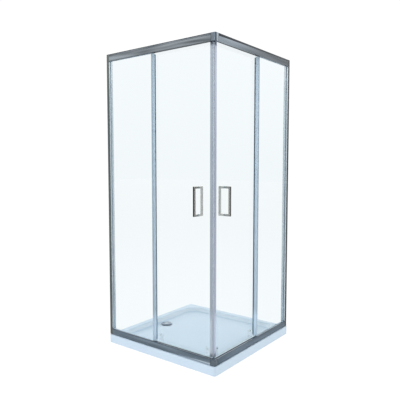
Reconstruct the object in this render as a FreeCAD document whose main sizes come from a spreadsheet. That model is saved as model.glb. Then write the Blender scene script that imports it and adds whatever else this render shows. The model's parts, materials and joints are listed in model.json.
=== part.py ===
import FreeCAD, Part
import os
import re
import Sketcher

# Corner shower enclosure: a square tray carries two framed glass wings that meet at the front
# corner. Each wing has a fixed pane beside the wall and a sliding door beside the corner.
# Frame: origin on the floor under the middle of the tray, +Z up, walls at -X and +Y.
# A place in a wing is given by along (distance from the outer corner along the wing),
# inset (distance inwards from the frame's outer face) and height.
# The front wing lies along X. The side wing is its mirror image in the tray's diagonal.

doc = FreeCAD.newDocument("shower_enclosure")
sheet = doc.addObject("Spreadsheet::Sheet", "Sizes")

sizes = [
    # tray
    ("tray_side", 900), ("tray_height", 55), ("tray_corner_radius", 14), ("tray_edge_radius", 3),
    ("rim_width", 46), ("rim_thickness", 5), ("skirt_wall", 6), ("basin_depth", 25),
    ("basin_slope_run", 14.4), ("basin_corner_radius", 110), ("basin_wall", 5), ("floor_wall", 5),
    ("floor_fall", 5), ("drain_from_edge", 118), ("drain_off_centre", 12), ("pan_flat", 2),
    ("recess_margin", 4), ("recess_depth", 3), ("drain_hole_margin", 2),
    # tray underside
    ("board_thickness", 12), ("board_margin", 60), ("board_hole_margin", 8),
    ("pad_size", 70), ("pad_from_board_edge", 90),
    # waste
    ("flange_thickness", 2.5), ("flange_clearance", 1), ("sleeve_wall", 2.2), ("sleeve_length", 14),
    ("sleeve_clearance", 0.2), ("waste_wall", 13), ("waste_lift", 1), ("waste_floor", 4),
    ("waste_outlet_diameter", 40), ("waste_bore_diameter", 58),
    ("strainer_wall", 1.5), ("strainer_clearance", 0.6), ("strainer_depth", 12),
    ("strainer_hole_diameter", 6), ("strainer_hole_circle", 26), ("strainer_lip", 2),
    ("strainer_lip_thickness", 1),
    ("cover_margin", 7), ("cover_thickness", 3.5), ("cover_crown", 1.2),
    ("cover_foot_diameter", 7), ("cover_foot_height", 2.4), ("cover_foot_margin", 6),
    # frame
    ("enclosure_height", 1900), ("frame_setback", 8), ("track_depth", 13.7),
    ("top_rail_height", 46), ("bottom_rail_height", 40), ("profile_wall", 1.8),
    ("fascia_radius", 1.4), ("groove_height", 11), ("groove_width", 1.8), ("groove_depth", 1),
    ("slot_inset", 8.5), ("slot_depth", 14), ("gasket_side", 1.5),
    ("shelf_height", 30), ("shelf_setback", 2),
    ("rib_from_wall", 5.95), ("rib_width", 2), ("rib_height", 2.2),
    ("base_lip_height", 5), ("corner_margin", 1), ("corner_radius", 9), ("corner_chamfer", 3),
    ("tongue_clearance", 0.3), ("tongue_length", 30),
    # wall channel and post
    ("channel_flange", 9.5), ("post_floor", 2.5), ("post_gap", 0.6), ("post_slot_depth", 10.5),
    ("tongue_gap", 1.5), ("post_slide_clearance", 0.4),
    ("wall_hole_radius", 3.5), ("wall_hole_margin", 250),
    # fixed pane
    ("fixed_span", 384.4), ("glass_thickness", 5), ("gasket_web", 2), ("gasket_proud", 0.8),
    ("edge_profile_wall", 1.5), ("edge_profile_leg", 10.5), ("fin_end_gap", 3.5),
    # door
    ("door_gap", 2.5), ("door_overlap", 12.5), ("door_bottom_gap", 3), ("door_top_gap", 2.5),
    ("door_open_margin", 64.4),
    ("stile_gap", 2.5), ("stile_width", 17.5), ("stile_wall", 1.5), ("stile_lip", 3.5), ("stile_web", 1.8),
    ("stile_end_gap", 3), ("seal_gap", 0.25), ("seal_shrink", 0.3),
    ("trailing_leg", 11.5), ("trailing_end_gap", 2), ("hook_gap", 1.8), ("hook_end_gap", 3),
    # handles
    ("handle_from_stile", 91), ("handle_above_tray", 953), ("handle_length", 178), ("handle_bar", 13),
    ("handle_projection", 40), ("handle_radius", 2.4), ("washer_thickness", 1), ("washer_inset", 0.3),
    ("stud_diameter", 6), ("stud_grip", 14), ("stud_clearance", 0.05), ("washer_seat", 0.2),
    # rollers
    ("wheel_groove_radius", 8), ("wheel_flange", 1.5), ("wheel_width", 6.5), ("wheel_bore_clearance", 0.05),
    ("groove_side_clearance", 0.6), ("wheel_play", 0.3), ("axle_diameter", 6), ("axle_head_edge", 1.5),
    ("axle_head_thickness", 1.4), ("axle_side_play", 0.3),
    ("hub_edge", 6), ("hub_thickness", 3.4), ("bush_wall", 2), ("bush_clearance", 0.2),
    ("roller_cap_edge", 9), ("roller_cap_thickness", 8), ("roller_cap_radius", 2.5),
    # lower rollers
    ("lead_guide_gap", 3.5), ("trail_guide_gap", 13.5),
    ("guide_width", 34), ("guide_length", 46), ("guide_depth", 11), ("guide_wall", 2.2),
    ("guide_above_edge", 6), ("slider_play", 0.15), ("slider_rise", 22), ("slider_drop", 8),
    ("tab_reach", 9), ("tab_height", 9), ("guide_pin_diameter", 8),
    ("spring_wire", 0.8), ("spring_side_gap", 0.4),
    # buffers and screws
    ("buffer_length", 12), ("buffer_gap", 0.5), ("buffer_side_gap", 4.7), ("buffer_height", 16),
    ("buffer_clearance", 0.2), ("screw_shank_diameter", 4), ("screw_head_diameter", 8),
    ("screw_head_height", 2.4), ("screw_length", 7), ("screw_clearance", 0.05),
    ("post_screw_margin", 200), ("post_screw_shift", 50),
    # how far a cut runs past a face
    ("overrun", 5),
]

# sizes that follow from the ones above
followers = [
    ("waste_body_diameter", "waste_bore_diameter + 2 * waste_wall"),
    ("drain_hole_diameter", "waste_bore_diameter + 2 * drain_hole_margin"),
    ("recess_diameter", "waste_body_diameter + 2 * recess_margin"),
    ("board_hole_diameter", "waste_body_diameter + 2 * board_hole_margin"),
    ("cover_diameter", "recess_diameter - 2 * cover_margin"),
    ("cover_foot_circle", "cover_diameter - 2 * cover_foot_margin"),
    ("pad_pitch", "tray_side / 2 - board_margin - pad_from_board_edge"),
    ("wing_length", "tray_side - frame_setback"),
    ("slot_width", "glass_thickness + 2 * gasket_side"),
    ("inner_wall", "slot_inset + slot_width + profile_wall"),
    ("rail_depth", "inner_wall + track_depth"),
    ("shelf_reach", "rail_depth - shelf_setback"),
    ("rib_inset", "inner_wall + rib_from_wall"),
    ("buffer_depth", "track_depth - buffer_side_gap"),
    ("corner_leg", "rail_depth + corner_margin"),
    ("corner_screw_along", "corner_leg + tongue_length / 2"),
    ("tongue_reach", "channel_flange - tongue_gap"),
    ("post_width", "post_slot_depth + post_floor"),
    ("post_face", "channel_flange + post_gap + post_width"),
    ("pane_edge_along", "wing_length - post_face - fixed_span"),
    ("door_inset", "rail_depth + door_gap"),
    ("door_back", "door_inset + glass_thickness"),
    ("door_edge_along", "pane_edge_along + door_overlap"),
    ("door_travel", "fixed_span - door_open_margin"),
    ("door_bottom_height", "tray_height + shelf_height + door_bottom_gap"),
    ("stile_along", "door_back + stile_gap"),
    ("stile_web_along", "stile_along + stile_lip"),
    ("door_front_along", "stile_web_along + stile_web"),
    ("seal_root", "stile_lip - seal_shrink"),
    ("pane_back", "slot_inset + gasket_side + glass_thickness"),
    ("overlap_room", "door_inset - pane_back - 2 * edge_profile_wall"),
    ("fin_reach", "overlap_room - fin_end_gap"),
    ("hook_reach", "overlap_room - hook_end_gap"),
    ("handle_along", "stile_along + stile_width + handle_from_stile"),
    ("handle_height", "tray_height + handle_above_tray"),
    ("washer_diameter", "handle_bar - 2 * washer_inset"),
    ("handle_hole_diameter", "washer_diameter - 2 * washer_seat"),
    ("wheel_radius", "wheel_groove_radius + wheel_flange"),
    ("axle_head_diameter", "axle_diameter + 2 * axle_head_edge"),
    ("hub_bush_diameter", "axle_diameter + 2 * bush_wall"),
    ("hub_diameter", "hub_bush_diameter + 2 * hub_edge"),
    ("roller_cap_diameter", "hub_bush_diameter + 2 * roller_cap_edge"),
    ("lead_wheel_along", "stile_along + stile_width + lead_guide_gap + guide_width / 2"),
    ("trail_wheel_along", "door_edge_along - trailing_leg - trail_guide_gap - guide_width / 2"),
    ("spring_diameter", "guide_depth - 2 * guide_wall - spring_wire - 2 * spring_side_gap"),
]

for row, (alias, size) in enumerate(sizes + followers, start=1):
    sheet.set("A%d" % row, alias.replace("_", " "))
    sheet.set("B%d" % row, "=" + size if isinstance(size, str) else str(size))
    sheet.setAlias("B%d" % row, alias)
doc.recompute()


def bound(text):
    """Writes an expression: every plain alias in it gets the sheet's name."""
    return re.sub(r"[a-z_]+\d*", lambda word: named(word.group()), str(text))


def named(word):
    return "Sizes." + word if word in aliases else word


def value(text):
    """The number that an expression gives now."""
    return float(sheet.evalExpression(bound(text)))


aliases = {alias for alias, size in sizes + followers}
parts = []
flat_tolerance = 0.01
strainer_holes = 8
cover_feet = 3
spring_turns = 8
crown_top_share = 0.5

# places that several pieces share, as expressions
outer = "( tray_side / 2 - frame_setback )"
frame_top = "( tray_height + enclosure_height )"
slot_inner = "( slot_inset + slot_width )"
pane_inset = "( slot_inset + gasket_side )"
rib_tip = "( shelf_height - profile_wall - rib_height )"
wheel_rise = "( shelf_height - profile_wall - rib_height - wheel_groove_radius - wheel_play )"
wheel_inset = "( rib_inset + rib_width / 2 - wheel_width / 2 )"
door_top = "( tray_height + enclosure_height - door_top_gap )"
floor_edge = "( tray_height - basin_depth )"
pan_height = "( tray_height - basin_depth - floor_fall )"
recess_height = "( tray_height - basin_depth - floor_fall - recess_depth )"
under_height = "( tray_height - basin_depth - floor_fall - recess_depth - floor_wall )"
drain_x = "( drain_from_edge - tray_side / 2 )"
drain_y = "drain_off_centre"


def place(item, x="0", y="0", z="0", turn=None):
    """Puts an object at expressions for x, y and z, with a fixed turn."""
    item.Placement = FreeCAD.Placement(FreeCAD.Vector(), turn or FreeCAD.Rotation())
    for axis, text in zip("xyz", (x, y, z)):
        item.setExpression("Placement.Base." + axis, bound(text))
    return item


def keep(item, label):
    """Marks an object as a finished piece, with the label that names its file."""
    item.Label = label
    parts.append(item)
    return item


# simple solids

def box(name, low, high):
    """A box between two corners, each three expressions."""
    item = doc.addObject("Part::Box", name)
    for side, start, end in zip(("Length", "Width", "Height"), low, high):
        item.setExpression(side, bound("( %s ) - ( %s )" % (end, start)))
    return place(item, *low)


def wing_box(name, along, inset, height):
    """A box in the front wing between pairs of along, inset and height."""
    low = ("%s - ( %s )" % (outer, along[1]), "( %s ) - %s" % (inset[0], outer), height[0])
    high = ("%s - ( %s )" % (outer, along[0]), "( %s ) - %s" % (inset[1], outer), height[1])
    return box(name, low, high)


def rod(name, diameter, length, x, y, z, turn=None):
    item = doc.addObject("Part::Cylinder", name)
    item.setExpression("Radius", bound("( %s ) / 2" % diameter))
    item.setExpression("Height", bound(length))
    return place(item, x, y, z, turn)


inwards = FreeCAD.Rotation(FreeCAD.Vector(1, 0, 0), -90)
along_x = FreeCAD.Rotation(FreeCAD.Vector(0, 1, 0), 90)


def wing_rod(name, diameter, along, inset, height):
    """A rod in the front wing that runs inwards from inset[0] to inset[1]."""
    length = "( %s ) - ( %s )" % (inset[1], inset[0])
    x = "%s - ( %s )" % (outer, along)
    y = "( %s ) - %s" % (inset[0], outer)
    return rod(name, diameter, length, x, y, height, inwards)


def fuse(name, items):
    item = doc.addObject("Part::MultiFuse", name)
    item.Shapes = items
    item.Refine = True
    return item


def cut(name, base, tools):
    """Takes one tool, or several fused tools, from a base."""
    tool = tools[0] if len(tools) == 1 else fuse(name + "_tools", tools)
    item = doc.addObject("Part::Cut", name)
    item.Base = base
    item.Tool = tool
    return item


def group(name, items):
    item = doc.addObject("Part::Compound", name)
    item.Links = items
    return item


def mirrored(item, label):
    """The same piece in the side wing: its mirror image in the tray's diagonal."""
    twin = doc.addObject("Part::Mirroring", label)
    twin.Source = item
    twin.Base = FreeCAD.Vector()
    twin.Normal = FreeCAD.Vector(1, 1, 0)
    return twin


def keep_pair(item, label):
    """Keeps a front piece and its twin in the side wing."""
    keep(item, "front_" + label)
    keep(mirrored(item, "side_" + label), "side_" + label)


def round_edges(name, base, radius, test):
    """Fillets the edges of a finished shape that pass a test on their ends."""
    doc.recompute()
    item = doc.addObject("Part::Fillet", name)
    item.Base = base
    size = value(radius)
    chosen = [i + 1 for i, edge in enumerate(base.Shape.Edges) if test(edge)]
    item.Edges = [(i, size, size) for i in chosen]
    return item


def edges_on_inset(inset):
    """A test for the edges that lie flat at one inset of the front wing."""
    face = value("%s - %s" % (inset, outer))

    def on_face(edge):
        b = edge.BoundBox
        return b.YLength < flat_tolerance and abs(b.YMin - face) < flat_tolerance

    return on_face


# sketched bodies

def make_body(name):
    return doc.addObject("PartDesign::Body", name)


def sketch_on(body, role, name, offset=None):
    """A sketch on one of the body's own origin planes, raised by an expression."""
    sketch = body.newObject("Sketcher::SketchObject", name)
    plane = [f for f in body.Origin.OriginFeatures if f.Role == role][0]
    sketch.AttachmentSupport = (plane, "")
    sketch.MapMode = "FlatFace"
    if offset:
        sketch.setExpression("AttachmentOffset.Base.z", bound(offset))
    return sketch


def draw_outline(sketch, points):
    """A closed outline of straight lines. Each corner is held at two expressions."""
    places = [FreeCAD.Vector(value(u), value(v), 0) for u, v in points]
    first = sketch.GeometryCount
    count = len(points)
    for i in range(count):
        sketch.addGeometry(Part.LineSegment(places[i], places[(i + 1) % count]), False)
    for i in range(count):
        nxt = (i + 1) % count
        sketch.addConstraint(Sketcher.Constraint("Coincident", first + i, 2, first + nxt, 1))
    for i, corner in enumerate(points):
        for kind, axis_line, text in (("DistanceX", -2, corner[0]), ("DistanceY", -1, corner[1])):
            if text == "0":
                sketch.addConstraint(Sketcher.Constraint("PointOnObject", first + i, 1, axis_line))
                continue
            held = Sketcher.Constraint(kind, -1, 1, first + i, 1, value(text))
            index = sketch.addConstraint(held)
            sketch.setExpression("Constraints[%d]" % index, bound(text))


def draw_rectangle(sketch, u_range, v_range):
    draw_outline(sketch, [(u_range[0], v_range[0]), (u_range[1], v_range[0]),
                          (u_range[1], v_range[1]), (u_range[0], v_range[1])])


def draw_rounded_square(sketch, half, radius, centre=("0", "0")):
    """A square with rounded corners: lines and quarter arcs about a centre."""
    h = value(half)
    r = value(radius)
    cx, cy = value(centre[0]), value(centre[1])
    first = sketch.GeometryCount
    corners = [(1, 1), (-1, 1), (-1, -1), (1, -1)]
    quarter = FreeCAD.Units.parseQuantity("90 deg").getValueAs("rad").Value
    for i, (a, b) in enumerate(corners):
        c, d = corners[(i + 1) % 4]
        start = [cx + a * h, cy + b * h]
        end = [cx + c * h, cy + d * h]
        axis = 0 if a != c else 1
        start[axis] -= r * (a if axis == 0 else b)
        end[axis] -= r * (c if axis == 0 else d)
        line = Part.LineSegment(FreeCAD.Vector(*start, 0), FreeCAD.Vector(*end, 0))
        sketch.addGeometry(line, False)
        middle = FreeCAD.Vector(cx + c * (h - r), cy + d * (h - r), 0)
        circle = Part.Circle(middle, FreeCAD.Vector(0, 0, 1), r)
        arc = Part.ArcOfCircle(circle, (i + 1) * quarter, (i + 2) * quarter)
        sketch.addGeometry(arc, False)
    for i in range(4):
        line, arc, nxt = first + 2 * i, first + 2 * i + 1, first + (2 * i + 2) % (2 * len(corners))
        sketch.addConstraint(Sketcher.Constraint("Tangent", line, 2, arc, 1))
        sketch.addConstraint(Sketcher.Constraint("Tangent", arc, 2, nxt, 1))
        index = sketch.addConstraint(Sketcher.Constraint("Radius", arc, r))
        sketch.setExpression("Constraints[%d]" % index, bound(radius))
        sketch.addConstraint(Sketcher.Constraint("Horizontal" if i % 2 == 0 else "Vertical", line))
    sides = [("DistanceY", 0, 1, centre[1]), ("DistanceX", 2, -1, centre[0]),
             ("DistanceY", 4, -1, centre[1]), ("DistanceX", 6, 1, centre[0])]
    for kind, offset, sign, middle in sides:
        text = "( %s ) + ( %s )" % (half, middle) if sign > 0 else "( %s ) - ( %s )" % (half, middle)
        if sign > 0:
            held = Sketcher.Constraint(kind, -1, 1, first + offset, 1, value(text))
        else:
            held = Sketcher.Constraint(kind, first + offset, 1, -1, 1, value(text))
        index = sketch.addConstraint(held)
        sketch.setExpression("Constraints[%d]" % index, bound(text))


def pad(body, sketch, name, length):
    item = body.newObject("PartDesign::Pad", name)
    item.Profile = sketch
    item.setExpression("Length", bound(length))
    sketch.Visibility = False
    return item


def pocket(body, sketch, name, length, upwards=False, taper=None):
    """A pocket below the sketch, or above it."""
    item = body.newObject("PartDesign::Pocket", name)
    item.Profile = sketch
    item.setExpression("Length", bound(length))
    item.Reversed = upwards
    if taper:
        item.setExpression("TaperAngle", bound(taper))
    return item


def extrusion(name, role, outline, chambers, length):
    """An extruded profile: an outline, its hollow chambers and a length."""
    body = make_body(name)
    sketch = sketch_on(body, role, name + "_section")
    draw_outline(sketch, outline)
    for u_range, v_range in chambers:
        draw_rectangle(sketch, u_range, v_range)
    pad(body, sketch, name + "_run", length)
    return body


# shower tray: an acrylic shell with a hollow rim, a sloped basin and a drain recess

half_side = "( tray_side / 2 )"
basin_half = "( tray_side / 2 - rim_width )"


def make_tray():
    body = make_body("tray")
    plan = sketch_on(body, "XY_Plane", "tray_plan")
    draw_rounded_square(plan, half_side, "tray_corner_radius")
    pad(body, plan, "tray_block", "tray_height")
    opening = sketch_on(body, "XY_Plane", "tray_basin_plan", "tray_height")
    draw_rounded_square(opening, basin_half, "basin_corner_radius")
    pocket(body, opening, "tray_basin", "basin_depth", taper="0 deg - atan( basin_slope_run / basin_depth )")
    edge = sketch_on(body, "XY_Plane", "tray_floor_edge", floor_edge)
    draw_rounded_square(edge, "tray_side / 2 - rim_width - basin_slope_run",
                        "basin_corner_radius - basin_slope_run")
    pan = sketch_on(body, "XY_Plane", "tray_pan_edge", pan_height)
    draw_rounded_square(pan, "recess_diameter / 2 + pan_flat", "recess_diameter / 2",
                        (drain_x, drain_y))
    fall = body.newObject("PartDesign::SubtractiveLoft", "tray_floor_fall")
    fall.Profile = edge
    fall.Sections = [pan]
    fall.Ruled = True
    under = sketch_on(body, "XY_Plane", "tray_underside_plan")
    draw_rounded_square(under, "tray_side / 2 - skirt_wall", "tray_corner_radius - skirt_wall")
    pocket(body, under, "tray_underside", under_height, upwards=True)
    hollow = sketch_on(body, "XY_Plane", "tray_rim_plan")
    draw_rounded_square(hollow, "tray_side / 2 - skirt_wall", "tray_corner_radius - skirt_wall")
    draw_rounded_square(hollow, basin_half + " + basin_wall", "basin_corner_radius + basin_wall")
    pocket(body, hollow, "tray_rim_hollow", "tray_height - rim_thickness", upwards=True)
    doc.recompute()
    depth = "%s + overrun - %s" % (floor_edge, recess_height)
    recess = rod("tray_recess", "recess_diameter", depth, drain_x, drain_y, recess_height)
    hole = rod("tray_drain_hole", "drain_hole_diameter", "floor_wall + 2 * overrun",
               drain_x, drain_y, under_height + " - overrun")
    shell = cut("tray_shell", body, [recess, hole])
    top = value("tray_height")
    side = value(half_side)

    def on_rim(edge):
        b = edge.BoundBox
        reach = max(abs(b.XMin), abs(b.XMax), abs(b.YMin), abs(b.YMax))
        outside = reach > side - value("tray_corner_radius") - flat_tolerance
        return abs(b.ZMin - top) < flat_tolerance and b.ZLength < flat_tolerance and outside

    keep(round_edges("tray_rounded", shell, "tray_edge_radius", on_rim), "shower_tray")


make_tray()


# tray underside: a stiffening board with pads that reach the floor

def make_underside():
    reach = "( tray_side / 2 - board_margin )"
    board = box("board_blank", ("0 - " + reach, "0 - " + reach, under_height + " - board_thickness"),
                (reach, reach, under_height))
    hole = rod("board_hole", "board_hole_diameter", "board_thickness + 2 * overrun",
               drain_x, drain_y, under_height + " - board_thickness - overrun")
    keep(cut("board", board, [hole]), "tray_base_board")
    pads = []
    for i in (-1, 0, 1):
        for j in (-1, 0, 1):
            if (i, j) == (-1, 0):
                continue  # the waste takes this place
            x = "%d * pad_pitch" % i
            y = "%d * pad_pitch" % j
            low = (x + " - pad_size / 2", y + " - pad_size / 2", "0")
            high = (x + " + pad_size / 2", y + " + pad_size / 2", under_height + " - board_thickness")
            pads.append(box("pad_%d_%d" % (i + 1, j + 1), low, high))
    keep(group("pads", pads), "tray_support_pads")


make_underside()


# waste: a body under the tray, a flange screwed down into it, a strainer and a lift-off cover

def make_waste():
    def disc(name, diameter, low, high):
        return rod(name, diameter, "( %s ) - ( %s )" % (high, low), drain_x, drain_y, low)

    def ring_place(item, circle, angle):
        """Moves a disc onto a circle about the drain's middle."""
        for axis, middle, turn in (("x", drain_x, "cos"), ("y", drain_y, "sin")):
            text = "%s + %s / 2 * %s( %g deg )" % (middle, circle, turn, angle)
            item.setExpression("Placement.Base." + axis, bound(text))
        return item

    body = disc("waste_cup", "waste_body_diameter", "waste_lift", under_height)
    bore = disc("waste_cup_bore", "waste_bore_diameter", "waste_lift + waste_floor",
                under_height + " + overrun")
    outlet = disc("waste_outlet", "waste_outlet_diameter", "waste_lift - overrun",
                  "waste_lift + waste_floor + overrun")
    keep(cut("waste", body, [bore, outlet]), "waste_body")

    flange_top = recess_height + " + flange_thickness"
    plate = disc("flange_plate", "recess_diameter - 2 * flange_clearance", recess_height, flange_top)
    sleeve_size = "( waste_bore_diameter - 2 * sleeve_clearance )"
    sleeve_low = recess_height + " - sleeve_length"
    sleeve = disc("flange_sleeve", sleeve_size, sleeve_low, flange_top)
    inner_size = "( waste_bore_diameter - 2 * sleeve_clearance - 2 * sleeve_wall )"
    inside = disc("flange_bore", inner_size, sleeve_low + " - overrun", flange_top + " + overrun")
    keep(cut("flange", fuse("flange_solid", [plate, sleeve]), [inside]), "waste_flange")

    cup_size = "( %s - 2 * strainer_clearance )" % inner_size
    cup_low = flange_top + " - strainer_depth"
    cup = disc("strainer_cup", cup_size, cup_low, flange_top + " + strainer_lip_thickness")
    lip = disc("strainer_rim", cup_size + " + 2 * strainer_lip", flange_top,
               flange_top + " + strainer_lip_thickness")
    inside = disc("strainer_bore", cup_size + " - 2 * strainer_wall", cup_low + " + strainer_wall",
                  flange_top + " + strainer_lip_thickness + overrun")
    tools = [inside]
    for i in range(strainer_holes):
        hole = disc("strainer_hole_%d" % i, "strainer_hole_diameter", cup_low + " - overrun",
                    cup_low + " + strainer_wall + overrun")
        tools.append(ring_place(hole, "strainer_hole_circle", 360 / strainer_holes * i))
    keep(cut("strainer", fuse("strainer_solid", [cup, lip]), tools), "hair_strainer")

    # the cover stands on three feet on the flange, so water runs in under its edge
    foot_top = flange_top + " + cover_foot_height"
    cover_top = foot_top + " + cover_thickness"
    plate = disc("cover_disc", "cover_diameter", foot_top, cover_top)
    crown = doc.addObject("Part::Cone", "cover_crown_cone")
    crown.setExpression("Radius1", bound("cover_diameter / 2"))
    crown.setExpression("Radius2", bound("cover_diameter / 2 * %s" % crown_top_share))
    crown.setExpression("Height", bound("cover_crown"))
    place(crown, drain_x, drain_y, cover_top)
    pieces = [plate, crown]
    for i in range(cover_feet):
        foot = disc("cover_foot_%d" % i, "cover_foot_diameter", flange_top, foot_top)
        pieces.append(ring_place(foot, "cover_foot_circle", 360 / cover_feet * i))
    keep(fuse("cover", pieces), "drain_cover")


make_waste()


# screws: pan heads, driven outwards from the cabin side

post_screw_along = "( tray_side - frame_setback - channel_flange / 2 )"
post_screw_levels = ("tray_height + post_screw_margin",
                     "tray_height + enclosure_height / 2 + post_screw_shift",
                     "tray_height + enclosure_height - post_screw_margin")
tongue_middle = "( ( bottom_rail_height - slot_depth ) / 2 )"
corner_screw_levels = ("tray_height + " + tongue_middle,
                       "tray_height + enclosure_height - " + tongue_middle)


def screw(name, along, seat, level):
    """A screw whose head sits on the face at inset seat."""
    head = wing_rod(name + "_head", "screw_head_diameter", along,
                    (seat, seat + " + screw_head_height"), level)
    shank = wing_rod(name + "_shank", "screw_shank_diameter", along,
                     (seat + " - screw_length", seat), level)
    return fuse(name, [head, shank])


def screw_holes(name, along, seat, levels):
    """Clearance holes for a row of screws."""
    size = "screw_shank_diameter + 2 * screw_clearance"
    depth = (seat + " - screw_length - screw_clearance", seat + " + overrun")
    return [wing_rod("%s_%d" % (name, i), size, along, depth, level)
            for i, level in enumerate(levels)]


# wall channel: a U profile screwed to the wall, open towards the corner

def make_channel():
    wall, depth = "profile_wall", "rail_depth"
    inner = depth + " - " + wall
    outline = [("0", "0"), ("channel_flange", "0"), ("channel_flange", wall), (wall, wall),
               (wall, inner), ("channel_flange", inner), ("channel_flange", depth), ("0", depth)]
    body = extrusion("channel", "XY_Plane", outline, [], "enclosure_height")
    place(body, "0 - tray_side / 2", "0 - " + outer, "tray_height")
    holes = []
    heights = ["tray_height + wall_hole_margin", "tray_height + enclosure_height / 2",
               frame_top + " - wall_hole_margin"]
    for i, height in enumerate(heights):
        holes.append(rod("channel_hole_%d" % i, "2 * wall_hole_radius", "profile_wall + 2 * overrun",
                         "0 - tray_side / 2 - overrun", "rail_depth / 2 - " + outer, height, along_x))
    holes += screw_holes("channel_screw_hole", post_screw_along, "rail_depth", post_screw_levels)
    keep_pair(cut("channel_drilled", body, holes), "wall_channel")


# wall post: slides in the channel to take up an uneven wall, and holds the fixed pane

def make_post():
    wall = "profile_wall"
    start = "( channel_flange + post_gap )"
    back = "( channel_flange + post_gap - tongue_reach )"
    lo = "( profile_wall + post_slide_clearance )"
    hi = "( rail_depth - profile_wall - post_slide_clearance )"
    floor = "( post_face - post_slot_depth )"
    outline = [(back, lo), (start, lo), (start, "0"), ("post_face", "0"), ("post_face", "slot_inset"),
               (floor, "slot_inset"), (floor, slot_inner), ("post_face", slot_inner),
               ("post_face", "rail_depth"), (start, "rail_depth"), (start, hi), (back, hi)]
    chambers = [((back + " + " + wall, floor + " - " + wall), (lo + " + " + wall, hi + " - " + wall)),
                ((floor, "post_face - " + wall), ("inner_wall", "rail_depth - " + wall)),
                ((floor, "post_face - " + wall), (wall, "slot_inset - " + wall))]
    body = extrusion("post", "XY_Plane", outline, chambers, "enclosure_height")
    place(body, "0 - tray_side / 2", "0 - " + outer, "tray_height")
    holes = screw_holes("post_screw_hole", post_screw_along, "rail_depth", post_screw_levels)
    keep_pair(cut("post_drilled", body, holes), "wall_post")


make_channel()
make_post()


# rails: one profile for both, the top one upside down and a little taller

def make_rail(name, height, upside_down):
    wall = "profile_wall"
    shelf_low = "( shelf_height - profile_wall )"
    rib_end = "( rib_inset + rib_width )"
    slot_floor = "( %s - slot_depth )" % height
    groove_low = "( groove_height - groove_width / 2 )"
    groove_high = "( groove_height + groove_width / 2 )"
    outline = [("0", "0"), ("rail_depth", "0"), ("rail_depth", "base_lip_height"),
               ("rail_depth - " + wall, "base_lip_height"), ("rail_depth - " + wall, wall),
               ("inner_wall", wall),
               ("inner_wall", shelf_low), ("rib_inset", shelf_low), ("rib_inset", rib_tip),
               (rib_end, rib_tip), (rib_end, shelf_low), ("shelf_reach", shelf_low),
               ("shelf_reach", "shelf_height"), ("inner_wall", "shelf_height"), ("inner_wall", height),
               (slot_inner, height), (slot_inner, slot_floor), ("slot_inset", slot_floor),
               ("slot_inset", height), ("0", height),
               ("0", groove_high), ("groove_depth", "groove_height"), ("0", groove_low)]
    chambers = [((wall + " + groove_depth", slot_inner), (wall, slot_floor + " - " + wall)),
                ((wall, "slot_inset - " + wall), (slot_floor, height + " - " + wall))]
    length = "( wing_length - post_face - corner_leg )"
    body = extrusion(name, "YZ_Plane", outline, chambers, length)
    if upside_down:
        turn = FreeCAD.Rotation(FreeCAD.Vector(0, 1, 0), 180)
        place(body, outer + " - corner_leg", "0 - " + outer, frame_top, turn)
    else:
        place(body, "post_face - tray_side / 2", "0 - " + outer, "tray_height")
    face = value("0 - " + outer)
    levels = [value("tray_height"), value("tray_height + " + height)]
    if upside_down:
        levels = [value(frame_top), value("%s - ( %s )" % (frame_top, height))]

    def on_fascia(edge):
        b = edge.BoundBox
        straight = b.YLength < flat_tolerance and b.ZLength < flat_tolerance
        at_level = min(abs(b.ZMin - level) for level in levels) < flat_tolerance
        return straight and abs(b.YMin - face) < flat_tolerance and at_level

    rounded = round_edges(name + "_rounded", body, "fascia_radius", on_fascia)
    level = corner_screw_levels[1 if upside_down else 0]
    holes = screw_holes(name + "_screw_hole", "corner_screw_along", "inner_wall", [level])
    keep_pair(cut(name + "_drilled", rounded, holes), name)


make_rail("bottom_rail", "bottom_rail_height", False)
make_rail("top_rail", "top_rail_height", True)


# corner connectors: moulded blocks whose tongues plug into the rails' chambers

def make_connector(name, height, low, upside_down):
    body = make_body(name + "_body")
    plan = sketch_on(body, "XY_Plane", name + "_plan")
    leg, chamfer = "corner_leg", "corner_leg - corner_chamfer"
    draw_outline(plan, [("0", "0"), (leg, "0"), (leg, chamfer), (chamfer, leg), ("0", leg)])
    pad(body, plan, name + "_run", height)
    turn = FreeCAD.Rotation(FreeCAD.Vector(0, 0, 1), 90)
    place(body, outer, "0 - " + outer, low, turn)
    edge_x = value(outer)

    def at_corner(edge):
        b = edge.BoundBox
        upright = b.XLength < flat_tolerance and b.YLength < flat_tolerance
        return upright and abs(b.XMin - edge_x) < flat_tolerance and abs(b.YMin + edge_x) < flat_tolerance

    block = round_edges(name + "_rounded", body, "corner_radius", at_corner)
    slot_floor = "( %s - slot_depth )" % height
    inset = ("profile_wall + groove_depth + tongue_clearance", slot_inner + " - tongue_clearance")
    rise = ("( profile_wall + tongue_clearance )", "( %s - profile_wall - tongue_clearance )" % slot_floor)
    if upside_down:
        heights = ("%s - %s" % (frame_top, rise[1]), "%s - %s" % (frame_top, rise[0]))
    else:
        heights = ("tray_height + " + rise[0], "tray_height + " + rise[1])
    tongue = wing_box(name + "_tongue", ("corner_leg / 2", "corner_leg + tongue_length"), inset, heights)
    level = corner_screw_levels[1 if upside_down else 0]
    drilled = cut(name + "_tongue_drilled", tongue,
                  screw_holes(name + "_screw_hole", "corner_screw_along", "inner_wall", [level]))
    twin = mirrored(drilled, name + "_side_tongue")
    return fuse(name + "_solid", [block, drilled, twin])


keep(make_connector("bottom_connector", "bottom_rail_height", "tray_height", False),
     "bottom_corner_connector")
keep(make_connector("top_connector", "top_rail_height", frame_top + " - top_rail_height", True),
     "top_corner_connector")


# fixed pane, its glazing gaskets and the profile on its free edge

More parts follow.
